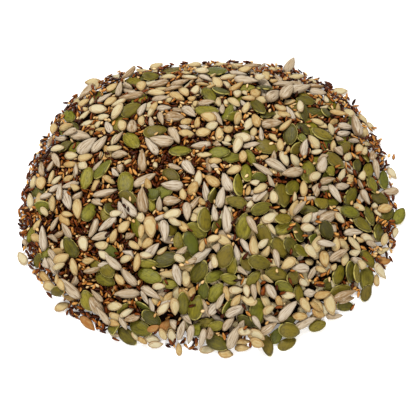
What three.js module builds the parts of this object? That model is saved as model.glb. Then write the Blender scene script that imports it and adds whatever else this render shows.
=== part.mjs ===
// A heap of mixed seeds, as it lies on a flat surface: hulled pumpkin, sunflower and melon seeds
// with linseed and sesame between them, spread into a low oval mound. The whole heap is one solid,
// out to the seeds that lie uppermost and outermost.
//
// Millimetres, +Z up. The front of the heap faces -Y and its long side runs along X. The origin is
// the middle of the underside, which is flat where the lowest seeds rest.

import * as THREE from "three";
import { mergeGeometries, mergeVertices } from "three/addons/utils/BufferGeometryUtils.js";

// Driving dimensions
const HEAP_WIDTH = 214; // along X, over the outermost seeds
const HEAP_DEPTH = 178; // along Y, over the outermost seeds
const HEAP_HEIGHT = 32; // to the top of the uppermost seed

// The larger seeds, which give the heap its relief
const PUMPKIN_SEED = { length: 13.5, width: 8.4, thickness: 2.6 };
const SUNFLOWER_SEED = { length: 11.5, width: 5.2, thickness: 2.8 };
const MELON_SEED = { length: 9.5, width: 5.4, thickness: 2.0 };

// In every run of this many seeds, one of each entry lies uppermost
const SEEDS_IN_TURN = [PUMPKIN_SEED, MELON_SEED, SUNFLOWER_SEED, MELON_SEED, SUNFLOWER_SEED];
const UPPERMOST_SEEDS = 520;

// The mound under the uppermost seeds
const MOUND_POWER = 2.1; // 2 is a parabola; a higher power has a flatter top and a steeper edge
const EDGE_HEIGHT = 2.0; // the heap thins out to one seed lying flat
const FOOT_INSET = 0.8; // a seed's round edge curls in under it, where it meets the surface
const RELIEF_FADE = 10; // the relief is full up to a tenth of the way in from the outline

// The outline is an oval that swells and shrinks in slow waves, as poured seeds spread unevenly
const OUTLINE_WAVES = [
  { count: 2, swell: 0.01, turn: THREE.MathUtils.degToRad(31) },
  { count: 4, swell: 0.02, turn: THREE.MathUtils.degToRad(44) },
  { count: 5, swell: 0.013, turn: THREE.MathUtils.degToRad(-12) },
  { count: 7, swell: 0.007, turn: THREE.MathUtils.degToRad(-19) },
];

// Single seeds stick out of the edge by up to this much
const EDGE_SEED_REACH = 1.6;
const EDGE_SEED_COUNTS = [41, 59];

// The surface is a square net of this many meshes a side, drawn out to the oval
const NET_MESHES = 62;

const GOLDEN_ANGLE = Math.PI * (3 - Math.sqrt(5));

// How far the outline lies from the middle, in a direction given by its angle about +Z.
function outlineRadius(angle) {
  const across = Math.cos(angle) / (HEAP_WIDTH / 2);
  const along = Math.sin(angle) / (HEAP_DEPTH / 2);
  const oval = 1 / Math.hypot(across, along);
  const swell = OUTLINE_WAVES.reduce(
    (sum, wave) => sum + wave.swell * Math.cos(wave.count * (angle - wave.turn)),
    0,
  );
  const seeds = EDGE_SEED_COUNTS.reduce((sum, count) => sum + Math.sin(count * angle), 0);
  return oval * (1 + swell) + (EDGE_SEED_REACH / EDGE_SEED_COUNTS.length) * seeds;
}

// The uppermost seeds, spread evenly over the oval by turning each one by the golden angle.
function layUppermostSeeds() {
  return Array.from({ length: UPPERMOST_SEEDS }, (_, index) => {
    const angle = index * GOLDEN_ANGLE;
    const share = Math.sqrt((index + 0.5) / UPPERMOST_SEEDS);
    const radius = share * outlineRadius(angle);
    return {
      ...SEEDS_IN_TURN[index % SEEDS_IN_TURN.length],
      x: radius * Math.cos(angle),
      y: radius * Math.sin(angle),
      turn: 2 * Math.PI * THREE.MathUtils.seededRandom(index),
    };
  });
}

// How far a seed lying flat rises above its own middle plane at x, y: a lens, and nothing beside it.
function riseOf(seed, x, y) {
  const dx = x - seed.x;
  const dy = y - seed.y;
  const lengthwise = (dx * Math.cos(seed.turn) + dy * Math.sin(seed.turn)) / (seed.length / 2);
  const crosswise = (dy * Math.cos(seed.turn) - dx * Math.sin(seed.turn)) / (seed.width / 2);
  const left = 1 - lengthwise * lengthwise - crosswise * crosswise;
  return left > 0 ? seed.thickness * Math.sqrt(left) : 0;
}

const uppermostSeeds = layUppermostSeeds();

// The height of the heap's surface over x, y, where share is 0 in the middle and 1 at the outline.
function surfaceHeight(x, y, share) {
  const highestRise = PUMPKIN_SEED.thickness;
  const mound = (HEAP_HEIGHT - EDGE_HEIGHT - highestRise) * (1 - share ** MOUND_POWER);
  const relief = Math.max(...uppermostSeeds.map((seed) => riseOf(seed, x, y)));
  return EDGE_HEIGHT + mound + relief * Math.min(1, RELIEF_FADE * (1 - share));
}

// Draws a square from -1 to 1 out to a round disc of radius 1, so that its meshes stay even: each
// square ring becomes a circle, and steps along its sides become steps of angle.
function drawOutToDisc(square) {
  const points = square.getAttribute("position");
  for (let i = 0; i < points.count; i += 1) {
    const x = points.getX(i);
    const y = points.getY(i);
    const radius = Math.max(Math.abs(x), Math.abs(y));
    const onSide = Math.abs(x) >= Math.abs(y);
    const step = radius > 0 ? ((onSide ? y : x) / (onSide ? x : y)) * (Math.PI / 4) : 0;
    const sign = Math.sign(onSide ? x : y);
    const [major, minor] = [sign * radius * Math.cos(step), sign * radius * Math.sin(step)];
    points.setXY(i, onSide ? major : minor, onSide ? minor : major);
  }
  return square;
}

// A round blank of radius 1 and height 1: the net on top, an upright edge and a flat underside.
function roundBlank() {
  const edgeSteps = 4 * NET_MESHES;
  const top = drawOutToDisc(new THREE.PlaneGeometry(2, 2, NET_MESHES, NET_MESHES));
  const edge = new THREE.CylinderGeometry(1, 1, 1, edgeSteps, 1, true);
  const underside = new THREE.CircleGeometry(1, edgeSteps);
  const blank = mergeGeometries([
    top.translate(0, 0, 1),
    edge.rotateX(Math.PI / 2).translate(0, 0, 0.5),
    underside.rotateX(Math.PI),
  ]);
  blank.deleteAttribute("normal");
  blank.deleteAttribute("uv");
  return mergeVertices(blank);
}

// Moves each point of the round blank to its place on the heap.
function heapGeometry() {
  const heap = roundBlank();
  const points = heap.getAttribute("position");
  for (let i = 0; i < points.count; i += 1) {
    const share = Math.hypot(points.getX(i), points.getY(i));
    const angle = Math.atan2(points.getY(i), points.getX(i));
    const onTop = points.getZ(i) > 0.5;
    const radius = share * outlineRadius(angle) - (onTop ? 0 : share * FOOT_INSET);
    const x = radius * Math.cos(angle);
    const y = radius * Math.sin(angle);
    points.setXYZ(i, x, y, onTop ? surfaceHeight(x, y, share) : 0);
  }
  return fitToSize(heap);
}

// Brings the heap to its overall sizes, with the middle of its underside at the origin.
function fitToSize(heap) {
  heap.computeBoundingBox();
  const middle = heap.boundingBox.getCenter(new THREE.Vector3());
  const size = heap.boundingBox.getSize(new THREE.Vector3());
  heap.translate(-middle.x, -middle.y, -heap.boundingBox.min.z);
  heap.scale(HEAP_WIDTH / size.x, HEAP_DEPTH / size.y, HEAP_HEIGHT / size.z);
  return heap;
}

// Seen together, the seeds are a warm straw brown, and dry
const mixedSeeds = new THREE.MeshStandardMaterial({ color: 0x8c7650, roughness: 0.75, metalness: 0 });

const seedHeap = new THREE.Mesh(heapGeometry(), mixedSeeds);
seedHeap.name = "seed_heap";

const heapOfMixedSeeds = new THREE.Group();
heapOfMixedSeeds.add(seedHeap);

export default heapOfMixedSeeds;
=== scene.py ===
"""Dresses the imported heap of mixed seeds: seeds of five kinds laid on a smaller core.

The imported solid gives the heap's outline and its rise. Seeds are laid on a core one after another,
each coming to rest on what already lies there, until they reach the solid's surface. The seeds that
stand out in the photograph lie where they are seen in it. Lengths in the classes are in
millimetres, and the finished meshes are in metres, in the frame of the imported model.
"""

import logging
import math
from dataclasses import dataclass, field
from enum import Enum
from typing import NamedTuple

import bmesh
import bpy
import numpy as np
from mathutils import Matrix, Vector, noise


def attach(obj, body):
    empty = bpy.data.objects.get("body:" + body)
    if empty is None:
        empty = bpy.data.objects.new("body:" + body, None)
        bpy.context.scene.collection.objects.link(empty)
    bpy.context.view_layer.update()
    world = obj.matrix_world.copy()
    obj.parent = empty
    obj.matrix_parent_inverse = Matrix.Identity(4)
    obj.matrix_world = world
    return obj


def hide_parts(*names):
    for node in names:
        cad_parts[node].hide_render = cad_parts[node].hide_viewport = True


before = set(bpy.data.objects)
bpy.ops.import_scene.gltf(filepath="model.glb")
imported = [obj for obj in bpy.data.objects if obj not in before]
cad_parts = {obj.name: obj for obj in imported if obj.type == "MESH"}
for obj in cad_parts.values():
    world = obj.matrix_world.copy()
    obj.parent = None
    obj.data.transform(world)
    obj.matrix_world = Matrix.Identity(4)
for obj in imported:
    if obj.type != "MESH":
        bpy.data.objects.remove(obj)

log = logging.getLogger("seed_heap")

NODE = "seed_heap"
BODY = "root"
MM = 0.001  # metres in a millimetre
CHANCE_SEED = 7  # every random draw comes from this, so that each run gives the same heap

# What each corner or point of a seed carries for its finish
PLACE = "seed_place"  # where it is on the seed, as a point of a ball of radius 1 with +X at the tip
CHANCE = "seed_chance"  # three numbers from 0 to 1 that are the seed's own
FLAT_MAP = "OFBake"  # each seed's upper and lower side laid flat in a square of its own


class Kind(Enum):
    """The kinds of seed in the mix, with their material slots."""

    PUMPKIN = "pumpkin_seed"
    SUNFLOWER = "sunflower_seed"
    MELON = "melon_seed"
    LINSEED = "linseed"
    SESAME = "sesame"


LARGE_KINDS = (Kind.PUMPKIN, Kind.SUNFLOWER, Kind.MELON)

TINY = 1e-6  # a length that counts as none

Colour = tuple[float, float, float, float]


def linear(red: float, green: float, blue: float) -> Colour:
    """Turns a colour read off a screen into the renderer's own scale.

    Args:
        red: red, from 0 to 255.
        green: green, from 0 to 255.
        blue: blue, from 0 to 255.

    Returns:
        The colour as linear red, green and blue from 0 to 1, with an alpha of 1.
    """
    shares = (red / 255, green / 255, blue / 255)
    bent = (s / 12.92 if s <= 0.04045 else ((s + 0.055) / 1.055) ** 2.4 for s in shares)
    return (*bent, 1.0)


# --- the heap's own shape -------------------------------------------------------------------------


class HeapShape:
    """The outline and the rise of the heap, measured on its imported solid."""

    OUTLINE_STEPS = 180
    RISE_STEPS = 24
    LOWEST_UPPER = 0.5  # the height over the floor from which a point is on the upper surface
    LAST_SHARE = 0.999  # a point on the outline itself counts in the last ring

    def __init__(self, node: bpy.types.Object) -> None:
        """Measures the solid.

        Args:
            node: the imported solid's object.
        """
        points = np.array([v.co for v in node.data.vertices]) / MM
        self.low, self.high = points.min(0), points.max(0)
        self._angles, self._radii = self._measure_outline(points)
        self._shares, self._rises = self._measure_rise(points)

    def _measure_outline(self, points: np.ndarray) -> tuple[np.ndarray, np.ndarray]:
        """Finds the outermost point in each direction.

        Args:
            points: the solid's points.

        Returns:
            Directions about +Z in radians, and how far out the outline is in each.
        """
        angle = np.arctan2(points[:, 1], points[:, 0])
        step = 2 * math.pi / self.OUTLINE_STEPS
        sector = np.floor((angle + math.pi) / step).astype(int) % self.OUTLINE_STEPS
        radii = np.zeros(self.OUTLINE_STEPS)
        np.maximum.at(radii, sector, np.hypot(points[:, 0], points[:, 1]))
        return -math.pi + step * (np.arange(self.OUTLINE_STEPS) + 0.5), radii

    def _measure_rise(self, points: np.ndarray) -> tuple[np.ndarray, np.ndarray]:
        """Finds the mean height of the upper surface at each share of the way to the outline.

        Args:
            points: the solid's points.

        Returns:
            Shares from 0 in the middle to 1 at the outline, and the mean height at each.
        """
        upper = points[points[:, 2] > self.LOWEST_UPPER]
        share = np.minimum(self.share(upper[:, 0], upper[:, 1]), self.LAST_SHARE)
        ring = share * self.RISE_STEPS
        count = np.bincount(ring.astype(int), minlength=self.RISE_STEPS)
        total = np.bincount(ring.astype(int), upper[:, 2], self.RISE_STEPS)
        return (np.arange(self.RISE_STEPS) + 0.5) / self.RISE_STEPS, total / np.maximum(count, 1)

    def radius(self, x: np.ndarray, y: np.ndarray) -> np.ndarray:
        """How far out the outline is in the direction of x, y."""
        return np.interp(np.arctan2(y, x), self._angles, self._radii, period=2 * math.pi)

    def share(self, x: np.ndarray, y: np.ndarray) -> np.ndarray:
        """The share of the way from the middle to the outline at x, y."""
        return np.hypot(x, y) / self.radius(x, y)

    def height(self, x: np.ndarray, y: np.ndarray) -> np.ndarray:
        """The mean height of the heap's surface over x, y, and 0 outside the outline."""
        share = self.share(x, y)
        return np.where(share <= 1, np.interp(share, self._shares, self._rises), 0.0)


@dataclass(frozen=True)
class PhotoView:
    """The camera of the photograph, which looks down on the front of the heap."""

    elevation: float = 69.0  # degrees above the floor
    distance: float = 556.0
    lens: float = 85.0
    sensor: float = 36.0
    picture_side: int = 416  # pixels
    middle_x: float = 208.8  # of the middle of the heap's underside in the picture, in pixels
    middle_y: float = 198.3
    rounds: int = 12  # of closing in on the heap's surface under a pixel

    @property
    def pixel(self) -> float:
        """The width of a pixel at one unit in front of the lens."""
        return self.sensor / self.lens / self.picture_side

    def _axes(self) -> tuple[np.ndarray, np.ndarray, np.ndarray]:
        """The camera's own directions.

        Returns:
            The directions to the right, up and forwards as the camera sees them.
        """
        tilt = math.radians(self.elevation)
        right = np.array([1.0, 0.0, 0.0])
        up = np.array([0.0, math.sin(tilt), math.cos(tilt)])
        forwards = np.array([0.0, math.cos(tilt), -math.sin(tilt)])
        return right, up, forwards

    def _eye(self) -> np.ndarray:
        """Where the camera stands.

        Returns:
            The point, from which the middle of the heap's underside lies where the picture has it.
        """
        right, up, forwards = self._axes()
        half = self.picture_side / 2
        sideways = (self.middle_x - half) * self.pixel * self.distance
        upwards = (half - self.middle_y) * self.pixel * self.distance
        return -forwards * self.distance - right * sideways - up * upwards

    def on_heap(self, x_px: float, y_px: float, shape: HeapShape) -> tuple[float, float]:
        """Finds what lies under a pixel of the photograph.

        Args:
            x_px: pixels from the left edge.
            y_px: pixels from the top edge.
            shape: the heap's shape.

        Returns:
            x and y of the point of the heap's surface, or of the floor beside it.
        """
        right, up, forwards = self._axes()
        half = self.picture_side / 2
        way = forwards + ((x_px - half) * right + (half - y_px) * up) * self.pixel
        eye, height = self._eye(), 0.0
        for _ in range(self.rounds):
            point = eye + way * (height - eye[2]) / way[2]
            height = 0.5 * (height + float(shape.height(point[0], point[1])))
        return float(point[0]), float(point[1])

    def make_camera(self) -> None:
        """Adds the camera to the scene, and makes it the scene's own."""
        data = bpy.data.cameras.new("photo_camera")
        data.lens, data.sensor_width = self.lens, self.sensor
        camera = bpy.data.objects.new("photo_camera", data)
        camera.location = Vector(self._eye()) * MM
        camera.rotation_euler = (math.radians(90 - self.elevation), 0, 0)
        bpy.context.scene.collection.objects.link(camera)
        bpy.context.scene.camera = camera


# --- the form of each kind of seed ----------------------------------------------------------------


@dataclass
class SeedMesh:
    """One seed of length, width and thickness 1, lying flat with its tip towards +X."""

    points: np.ndarray
    faces: list[list[int]]
    places: np.ndarray  # of each point on the ball that the seed was shaped from
    corners: np.ndarray  # of the faces, one after another, on the seed's own square of the flat map
    capped: np.ndarray  # whether a face closes a break


@dataclass(frozen=True)
class SeedForm:
    """The form of one kind of seed. Shares are of its length, width or thickness."""

    SMALLEST_CHIP = (0.35, 0.55, 0.7)  # as shares of a whole seed's length, width and thickness
    LARGEST_CHIP = (0.65, 0.95, 1.0)
    FURTHEST_SIZE = 2.2  # how many spreads a size may lie from the mean
    POINT_SPREAD = (0.6, 1.35)  # how blunt or how sharp one seed's tip may be beside another's
    LEAN = 0.25  # how far the tip may sit to one side
    BLUNTEST = 0.02  # how near to the very tip the width still narrows
    LUMP_FINENESS = 1.4  # of the pattern by which the sides swell and shrink
    LUMP_PLACES = 50.0  # how far apart the seeds may lie in that pattern
    THINNING = 0.6  # towards its tip a seed thins by this power of how it narrows
    DENT_PLACE = -0.2  # along the seed, from -1 at the butt to 1 at the tip
    DENT_LENGTH = 0.5
    DENT_WIDTH = 0.4
    STRAIGHT = 0.35  # the square of the place along the seed that a bend leaves where it is
    FACE_SLIP = 0.3  # how much of the twist moves the faces sideways
    BREAK_REACH = 0.28  # how far from the middle a seed may break
    BREAK_SLANT = 0.8  # the most that the break slants, as the tangent of its angle
    BREAK_BULGE = (0.02, 0.06)  # how far the break's middle stands out
    MAP_FILL = 0.92  # the share of its half of the flat map that a side reaches out to
    PROFILE_STEPS = 101

    length: float
    width: float
    thickness: float
    uneven: float  # spread of the sizes from seed to seed, as a share
    point: float  # 0 for an oval, 0.5 for a drop that runs out to a sharp tip
    boxy: float  # 1 for a lens, less for flatter faces and a rounder rim
    bow: float  # how far the tip and the butt may bend up or down
    sway: float  # how far they may bend sideways
    twist: float  # degrees, from tip to butt
    around: int  # faces round the rim
    levels: int  # rings of faces from the upper pole to the lower one
    variants: int
    broken: int = 0  # so many of the variants have lost a part
    chips: float = 0.0  # the share of the poured seeds that are only a piece of one
    dent: float = 0.0  # depth of a hollow across the faces
    lumps: float = 0.1  # how far its sides swell and shrink

    def sizes(self, chance: np.random.Generator) -> np.ndarray:
        """Draws the size of one more seed.

        Args:
            chance: where the differences between seeds come from.

        Returns:
            Its length, width and thickness.
        """
        furthest = self.FURTHEST_SIZE * self.uneven
        spread = np.clip(chance.normal(0, self.uneven, 3), -furthest, furthest)
        return np.array([self.length, self.width, self.thickness]) * (1 + spread)

    def chip_share(self, chance: np.random.Generator) -> np.ndarray:
        """Draws how much of a seed's length, width and thickness is left in a chip of it."""
        return chance.uniform(self.SMALLEST_CHIP, self.LARGEST_CHIP)

    def pick_variant(self, chance: np.random.Generator, is_broken: bool) -> int:
        """Picks one of the variants.

        Args:
            chance: where the pick comes from.
            is_broken: whether it is one of the broken ones, and not of the whole ones.

        Returns:
            The variant's number.
        """
        if is_broken:
            return self.variants - 1 - int(chance.integers(self.broken))
        return int(chance.integers(self.variants - self.broken))

    def make_variants(self, chance: np.random.Generator) -> list[SeedMesh]:
        """Makes the different seeds of this kind, the broken ones last."""
        whole = self.variants - self.broken
        return [self._make(chance, is_broken=i >= whole) for i in range(self.variants)]

    def _make(self, chance: np.random.Generator, is_broken: bool) -> SeedMesh:
        """Makes one seed.

        Args:
            chance: where its own bends come from.
            is_broken: whether it has lost a part.

        Returns:
            The seed's mesh.
        """
        seed = bmesh.new()
        bmesh.ops.create_uvsphere(
            seed, u_segments=self.around, v_segments=self.levels, radius=1.0
        )
        place = seed.verts.layers.float_vector.new(PLACE)
        for vert in seed.verts:
            vert[place] = vert.co
        self._shape(seed, chance)
        caps = self._break(seed, chance) if is_broken else set()
        bmesh.ops.recalc_face_normals(seed, faces=seed.faces)
        seed.verts.index_update()
        mesh = SeedMesh(
            points=np.array([v.co for v in seed.verts]),
            faces=[[v.index for v in f.verts] for f in seed.faces],
            places=np.array([v[place] for v in seed.verts]),
            corners=np.array(
                [spot for f in seed.faces for spot in self._flatten([v[place] for v in f.verts])]
            ),
            capped=np.array([f in caps for f in seed.faces]),
        )
        seed.free()
        return mesh

    def _shape(self, seed: bmesh.types.BMesh, chance: np.random.Generator) -> None:
        """Draws the ball out to a seed, and bends it.

        Args:
            seed: the ball, which is changed.
            chance: where the bends come from.
        """
        bow, sway = chance.uniform(-1, 1, 2) * (self.bow, self.sway)
        twist = math.radians(self.twist) * chance.uniform(-1, 1)
        point = self.point * chance.uniform(*self.POINT_SPREAD)
        lean = chance.uniform(-self.LEAN, self.LEAN)
        elsewhere = Vector(chance.uniform(-self.LUMP_PLACES, self.LUMP_PLACES, 3))
        steps = np.linspace(-1, 1, self.PROFILE_STEPS)
        widest = (np.sqrt(1 - steps**2) * ((1 - steps) / 2) ** point).max()
        for vert in seed.verts:
            lump = noise.noise(vert.co * self.LUMP_FINENESS + elsewhere)
            x, y, z = vert.co * (1 + self.lumps * lump)
            out = math.hypot(x, y)
            spread = out**self.boxy / out if out > TINY else 0.0
            x, y = x * spread, y * spread
            narrow = (max(self.BLUNTEST, 1 - x) / 2) ** point / widest
            y = y * narrow + lean * max(0.0, x) ** 2 * 0.5
            z = math.copysign(abs(z) ** self.boxy, z) * narrow**self.THINNING
            along = (x - self.DENT_PLACE) / self.DENT_LENGTH
            z *= 1 - self.dent * math.exp(-(along**2) - (y / self.DENT_WIDTH) ** 2)
            curl = x * x - self.STRAIGHT
            cos, sin = math.cos(twist * x), math.sin(twist * x)
            y, z = (
                y * cos - self.FACE_SLIP * z * sin,
                z * cos + y * sin * self.width / self.thickness,
            )
            vert.co = (
                0.5 * x,
                0.5 * y + sway * curl * self.length / self.width,
                0.5 * z + bow * curl * self.length / self.thickness,
            )

    def _break(
        self, seed: bmesh.types.BMesh, chance: np.random.Generator
    ) -> set[bmesh.types.BMFace]:
        """Takes one end off a seed, closes the break, and brings it back to a length of 1.

        Args:
            seed: the seed, which is changed.
            chance: where the break's place comes from.

        Returns:
            The faces that close it.
        """
        side = chance.choice((-1.0, 1.0))
        bmesh.ops.bisect_plane(
            seed,
            geom=[*seed.verts, *seed.edges, *seed.faces],
            plane_co=(side * chance.uniform(0.0, self.BREAK_REACH), 0, 0),
            plane_no=(side, chance.uniform(-self.BREAK_SLANT, self.BREAK_SLANT), 0),
            clear_outer=True,
        )
        rim = [edge for edge in seed.edges if edge.is_boundary]
        caps = bmesh.ops.holes_fill(seed, edges=rim)["faces"]
        bulge = chance.uniform(*self.BREAK_BULGE)
        caps = set(bmesh.ops.poke(seed, faces=caps, offset=bulge)["faces"])
        ends = [vert.co.x for vert in seed.verts]
        left = max(ends) - min(ends)
        bmesh.ops.translate(seed, verts=seed.verts, vec=(-min(ends) - left / 2, 0, 0))
        bmesh.ops.scale(seed, verts=seed.verts, vec=(1 / left, 1, 1))
        return caps

    def _flatten(self, places: list[Vector]) -> list[tuple[float, float]]:
        """Lays a face flat in its seed's square, the upper side on the left half.

        Args:
            places: of the face's corners on the ball.

        Returns:
            Two numbers from 0 to 1 for each corner.
        """
        half = 0.0 if sum(p.z for p in places) > 0 else 0.5
        spots = []
        for place in places:
            reach = self.MAP_FILL * (1 - math.asin(min(1.0, abs(place.z))) / (math.pi / 2))
            out = max(math.hypot(place.x, place.y), TINY)
            across, along = reach * place.y / out, reach * place.x / out
            spots.append((half + 0.25 * (1 + across), 0.5 * (1 + along)))
        return spots


FORMS = {
    Kind.PUMPKIN: SeedForm(
        length=13.4, width=7.8, thickness=2.5, uneven=0.055, point=0.13, boxy=0.74, bow=0.05,
        sway=0.02, twist=10.0, around=16, levels=6, variants=16, broken=4, chips=0.1, dent=0.2,
        lumps=0.07,
    ),
    Kind.SUNFLOWER: SeedForm(
        length=12.8, width=5.0, thickness=2.8, uneven=0.1, point=0.34, boxy=0.88, bow=0.055,
        sway=0.045, twist=18.0, around=14, levels=6, variants=20, broken=6, chips=0.25, lumps=0.15,
    ),
    Kind.MELON: SeedForm(
        length=9.8, width=5.3, thickness=1.9, uneven=0.09, point=0.22, boxy=0.76, bow=0.06,
        sway=0.035, twist=14.0, around=12, levels=6, variants=20, broken=6, chips=0.25, lumps=0.16,
    ),
    Kind.LINSEED: SeedForm(
        length=4.4, width=1.7, thickness=1.1, uneven=0.1, point=0.26, boxy=0.92, bow=0.03,
        sway=0.03, twist=4.0, around=8, levels=4, variants=6,
    ),
    Kind.SESAME: SeedForm(
        length=2.9, width=1.7, thickness=0.9, uneven=0.08, point=0.28, boxy=0.88, bow=0.01,
        sway=0.01, twist=0.0, around=8, levels=4, variants=5,
    ),
}


# --- how the seeds come to rest -------------------------------------------------------------------


class LaidSeed(NamedTuple):
    """A seed in its place in the heap."""

    kind: Kind
    variant: int
    middle: np.ndarray
    turn: np.ndarray  # its own axes, as columns
    size: np.ndarray
    chance: np.ndarray  # its three own numbers, for its finish


@dataclass(frozen=True)
class Rest:
    """How freely a seed finds its rest."""

    tries: int = 14
    shift: float = 0.7  # how far it may slide from where it drops
    tilt: float = 0.22  # how far its own normal may lean from the bed's
    yaw: float = 0.1  # how far it may turn, in radians
    rock: float = 0.06  # how far it may turn about its own length, in radians
    on_edge: float = 0.14  # the share of seeds that lie on their rim
    edge_roll: tuple[float, float] = (0.5, 1.4)  # how far those are turned about their length
    steepest: float = 0.6  # rise of the bed per unit of length that it still follows


LARGE_REST = Rest()
GRAIN_REST = Rest(tries=10, shift=0.5, tilt=0.3)
CORE_REST = Rest(tries=8, shift=1.5)
SEEN_REST = Rest(tries=6, shift=0.25, tilt=0.2, yaw=0.03)


class Bed:
    """What lies in the heap so far, as a height over each square of a fine grid."""

    PITCH = 0.4
    MARGIN = 12.0
    OVER_TOP = 0.4  # how far a seed may stand above the solid's highest point
    ROOM_REACH = 1.2  # how far about a place the room there is measured

    def __init__(self, shape: HeapShape) -> None:
        """Starts with a bare floor.

        Args:
            shape: the heap's shape, which sets the grid's extent.
        """
        self.x = np.arange(shape.low[0] - self.MARGIN, shape.high[0] + self.MARGIN, self.PITCH)
        self.y = np.arange(shape.low[1] - self.MARGIN, shape.high[1] + self.MARGIN, self.PITCH)
        self.height = np.zeros((len(self.y), len(self.x)))
        self.kept_clear = np.zeros(self.height.shape, bool)
        self.ceiling = shape.high[2] + self.OVER_TOP
        grid_x, grid_y = np.meshgrid(self.x, self.y)
        self.aim = shape.height(grid_x, grid_y)

    def cell(self, x: float, y: float) -> tuple[int, int]:
        """The row and column of the square at x, y."""
        return round((y - self.y[0]) / self.PITCH), round((x - self.x[0]) / self.PITCH)

    def window(self, x: float, y: float, reach: float) -> tuple[slice, slice]:
        """Finds the squares near a place.

        Args:
            x: the place.
            y: the place.
            reach: how far about it they lie.

        Returns:
            Their rows and their columns.
        """
        row, column = self.cell(x, y)
        n = math.ceil(reach / self.PITCH)
        return slice(row - n, row + n + 1), slice(column - n, column + n + 1)

    def room(self, x: float, y: float) -> float:
        """How far the bed still lies under the heap's surface at x, y."""
        rows, columns = self.window(x, y, self.ROOM_REACH)
        return float((self.aim[rows, columns] - self.height[rows, columns]).mean())

    @staticmethod
    def _turns(normals: np.ndarray, headings: np.ndarray, rolls: np.ndarray) -> np.ndarray:
        """Turns seeds so that they lie along a bed.

        Args:
            normals: the way each seed's upper face looks.
            headings: the way each tip points, in radians about +Z.
            rolls: each seed's turn about its own length, in radians.

        Returns:
            Each seed's own axes, as columns.
        """
        normals = normals / np.linalg.norm(normals, axis=1, keepdims=True)
        ahead = np.stack([np.cos(headings), np.sin(headings), np.zeros(len(headings))], 1)
        ahead -= (ahead * normals).sum(1, keepdims=True) * normals
        ahead /= np.linalg.norm(ahead, axis=1, keepdims=True)
        side = np.cross(normals, ahead)
        cos, sin = np.cos(rolls)[:, None], np.sin(rolls)[:, None]
        return np.stack([ahead, side * cos + normals * sin, normals * cos - side * sin], 2)

    @staticmethod
    def _faces(
        turns: np.ndarray, half: np.ndarray, dx: np.ndarray, dy: np.ndarray
    ) -> tuple[np.ndarray, np.ndarray]:
        """The lower and upper side of each seed, taken as an ellipsoid.

        Args:
            turns: each seed's own axes, as columns.
            half: half of the seed's length, width and thickness.
            dx: each square's distance from each seed's middle along X.
            dy: the same along Y.

        Returns:
            Heights over the middle, with not-a-number beside the seed.
        """
        form = np.einsum("kij,j,klj->kil", turns, 1 / half**2, turns)[:, :, :, None, None]
        cross = form[:, 0, 2] * dx + form[:, 1, 2] * dy
        flat = form[:, 0, 0] * dx**2 + 2 * form[:, 0, 1] * dx * dy + form[:, 1, 1] * dy**2
        inside = cross**2 - form[:, 2, 2] * (flat - 1)
        root = np.sqrt(np.where(inside > 0, inside, np.nan))
        return (-cross - root) / form[:, 2, 2], (-cross + root) / form[:, 2, 2]

    def lay(
        self, x: float, y: float, heading: float, roll: float, size: np.ndarray,
        rest: Rest, chance: np.random.Generator, cover_share: float = 1.0,
        highest: float = math.inf, stays_clear: bool = False,
    ) -> tuple[np.ndarray, np.ndarray] | None:
        """Drops a seed several times, and leaves it where it comes to lie lowest.

        Args:
            x: where it drops.
            y: where it drops.
            heading: the way its tip points, in radians about +Z.
            roll: its turn about its own length, in radians.
            size: its length, width and thickness.
            rest: how freely it finds its rest.
            chance: where the differences between the tries come from.
            cover_share: how much of it may lie over seeds that stay clear.
            highest: how far its upper side may rise over the heap's surface.
            stays_clear: whether later seeds leave it in sight.

        Returns:
            Its middle and its own axes as columns, or None if it covers too much or lies too high.
        """
        rows, columns = self.window(x, y, size[0] / 2 + 2 * rest.shift)
        under = self.height[rows, columns]
        dx, dy = np.meshgrid(self.x[columns] - x, self.y[rows] - y)
        slope = np.array([(way * under).sum() / (way * way).sum() for way in (dx, dy)])
        slope *= min(1.0, rest.steepest / max(float(np.hypot(*slope)), TINY))
        normals = np.array([*-slope, 1.0]) + np.concatenate(
            [chance.normal(0, rest.tilt, (rest.tries, 2)), np.zeros((rest.tries, 1))], 1
        )
        headings = heading + chance.normal(0, rest.yaw, rest.tries)
        rolls = roll + chance.normal(0, rest.rock, rest.tries)
        turns = self._turns(normals, headings, rolls)
        furthest = 2 * rest.shift
        shifts = np.clip(chance.normal(0, rest.shift, (rest.tries, 2)), -furthest, furthest)
        low, high = self._faces(
            turns, size / 2, dx - shifts[:, 0, None, None], dy - shifts[:, 1, None, None]
        )
        middles = np.nanmax(under - low, axis=(1, 2))
        best = int(np.argmin(middles))
        covers = np.isfinite(high[best])
        rise = high[best][covers]
        middle = min(float(middles[best]), self.ceiling - float(rise.max()))
        if (middle + rise - self.aim[rows, columns][covers]).mean() > highest:
            return None
        if self.kept_clear[rows, columns][covers].mean() > cover_share:
            return None
        under[covers] = np.maximum(under[covers], middle + rise)
        self.kept_clear[rows, columns] |= covers & stays_clear
        return np.array([x + shifts[best, 0], y + shifts[best, 1], middle]), turns[best]

    def bury_depth(self, reach: float) -> np.ndarray:
        """Finds how low the bed lies near each of its squares.

        Args:
            reach: how far about a square counts as near.

        Returns:
            The lowest height within reach of each square.
        """
        lowest = self.height.copy()
        steps = math.ceil(reach / self.PITCH)
        for row in range(-steps, steps + 1):
            for column in range(-steps, steps + 1):
                lowest = np.minimum(lowest, np.roll(self.height, (row, column), (0, 1)))
        return lowest


class Seen(NamedTuple):
    """A seed that stands out in the photograph, in pixels of it."""

    x_px: float
    y_px: float
    turn: float  # the way its tip points, in degrees counter-clockwise from the right
    length_px: float = 0.0  # 0 for the usual length of its kind
    roll: float = 0.0  # degrees about its length: 90 is on its rim
    shade: float | None = None  # from 0 for dark to 1 for pale, under 0 for toasted; None for any


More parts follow.
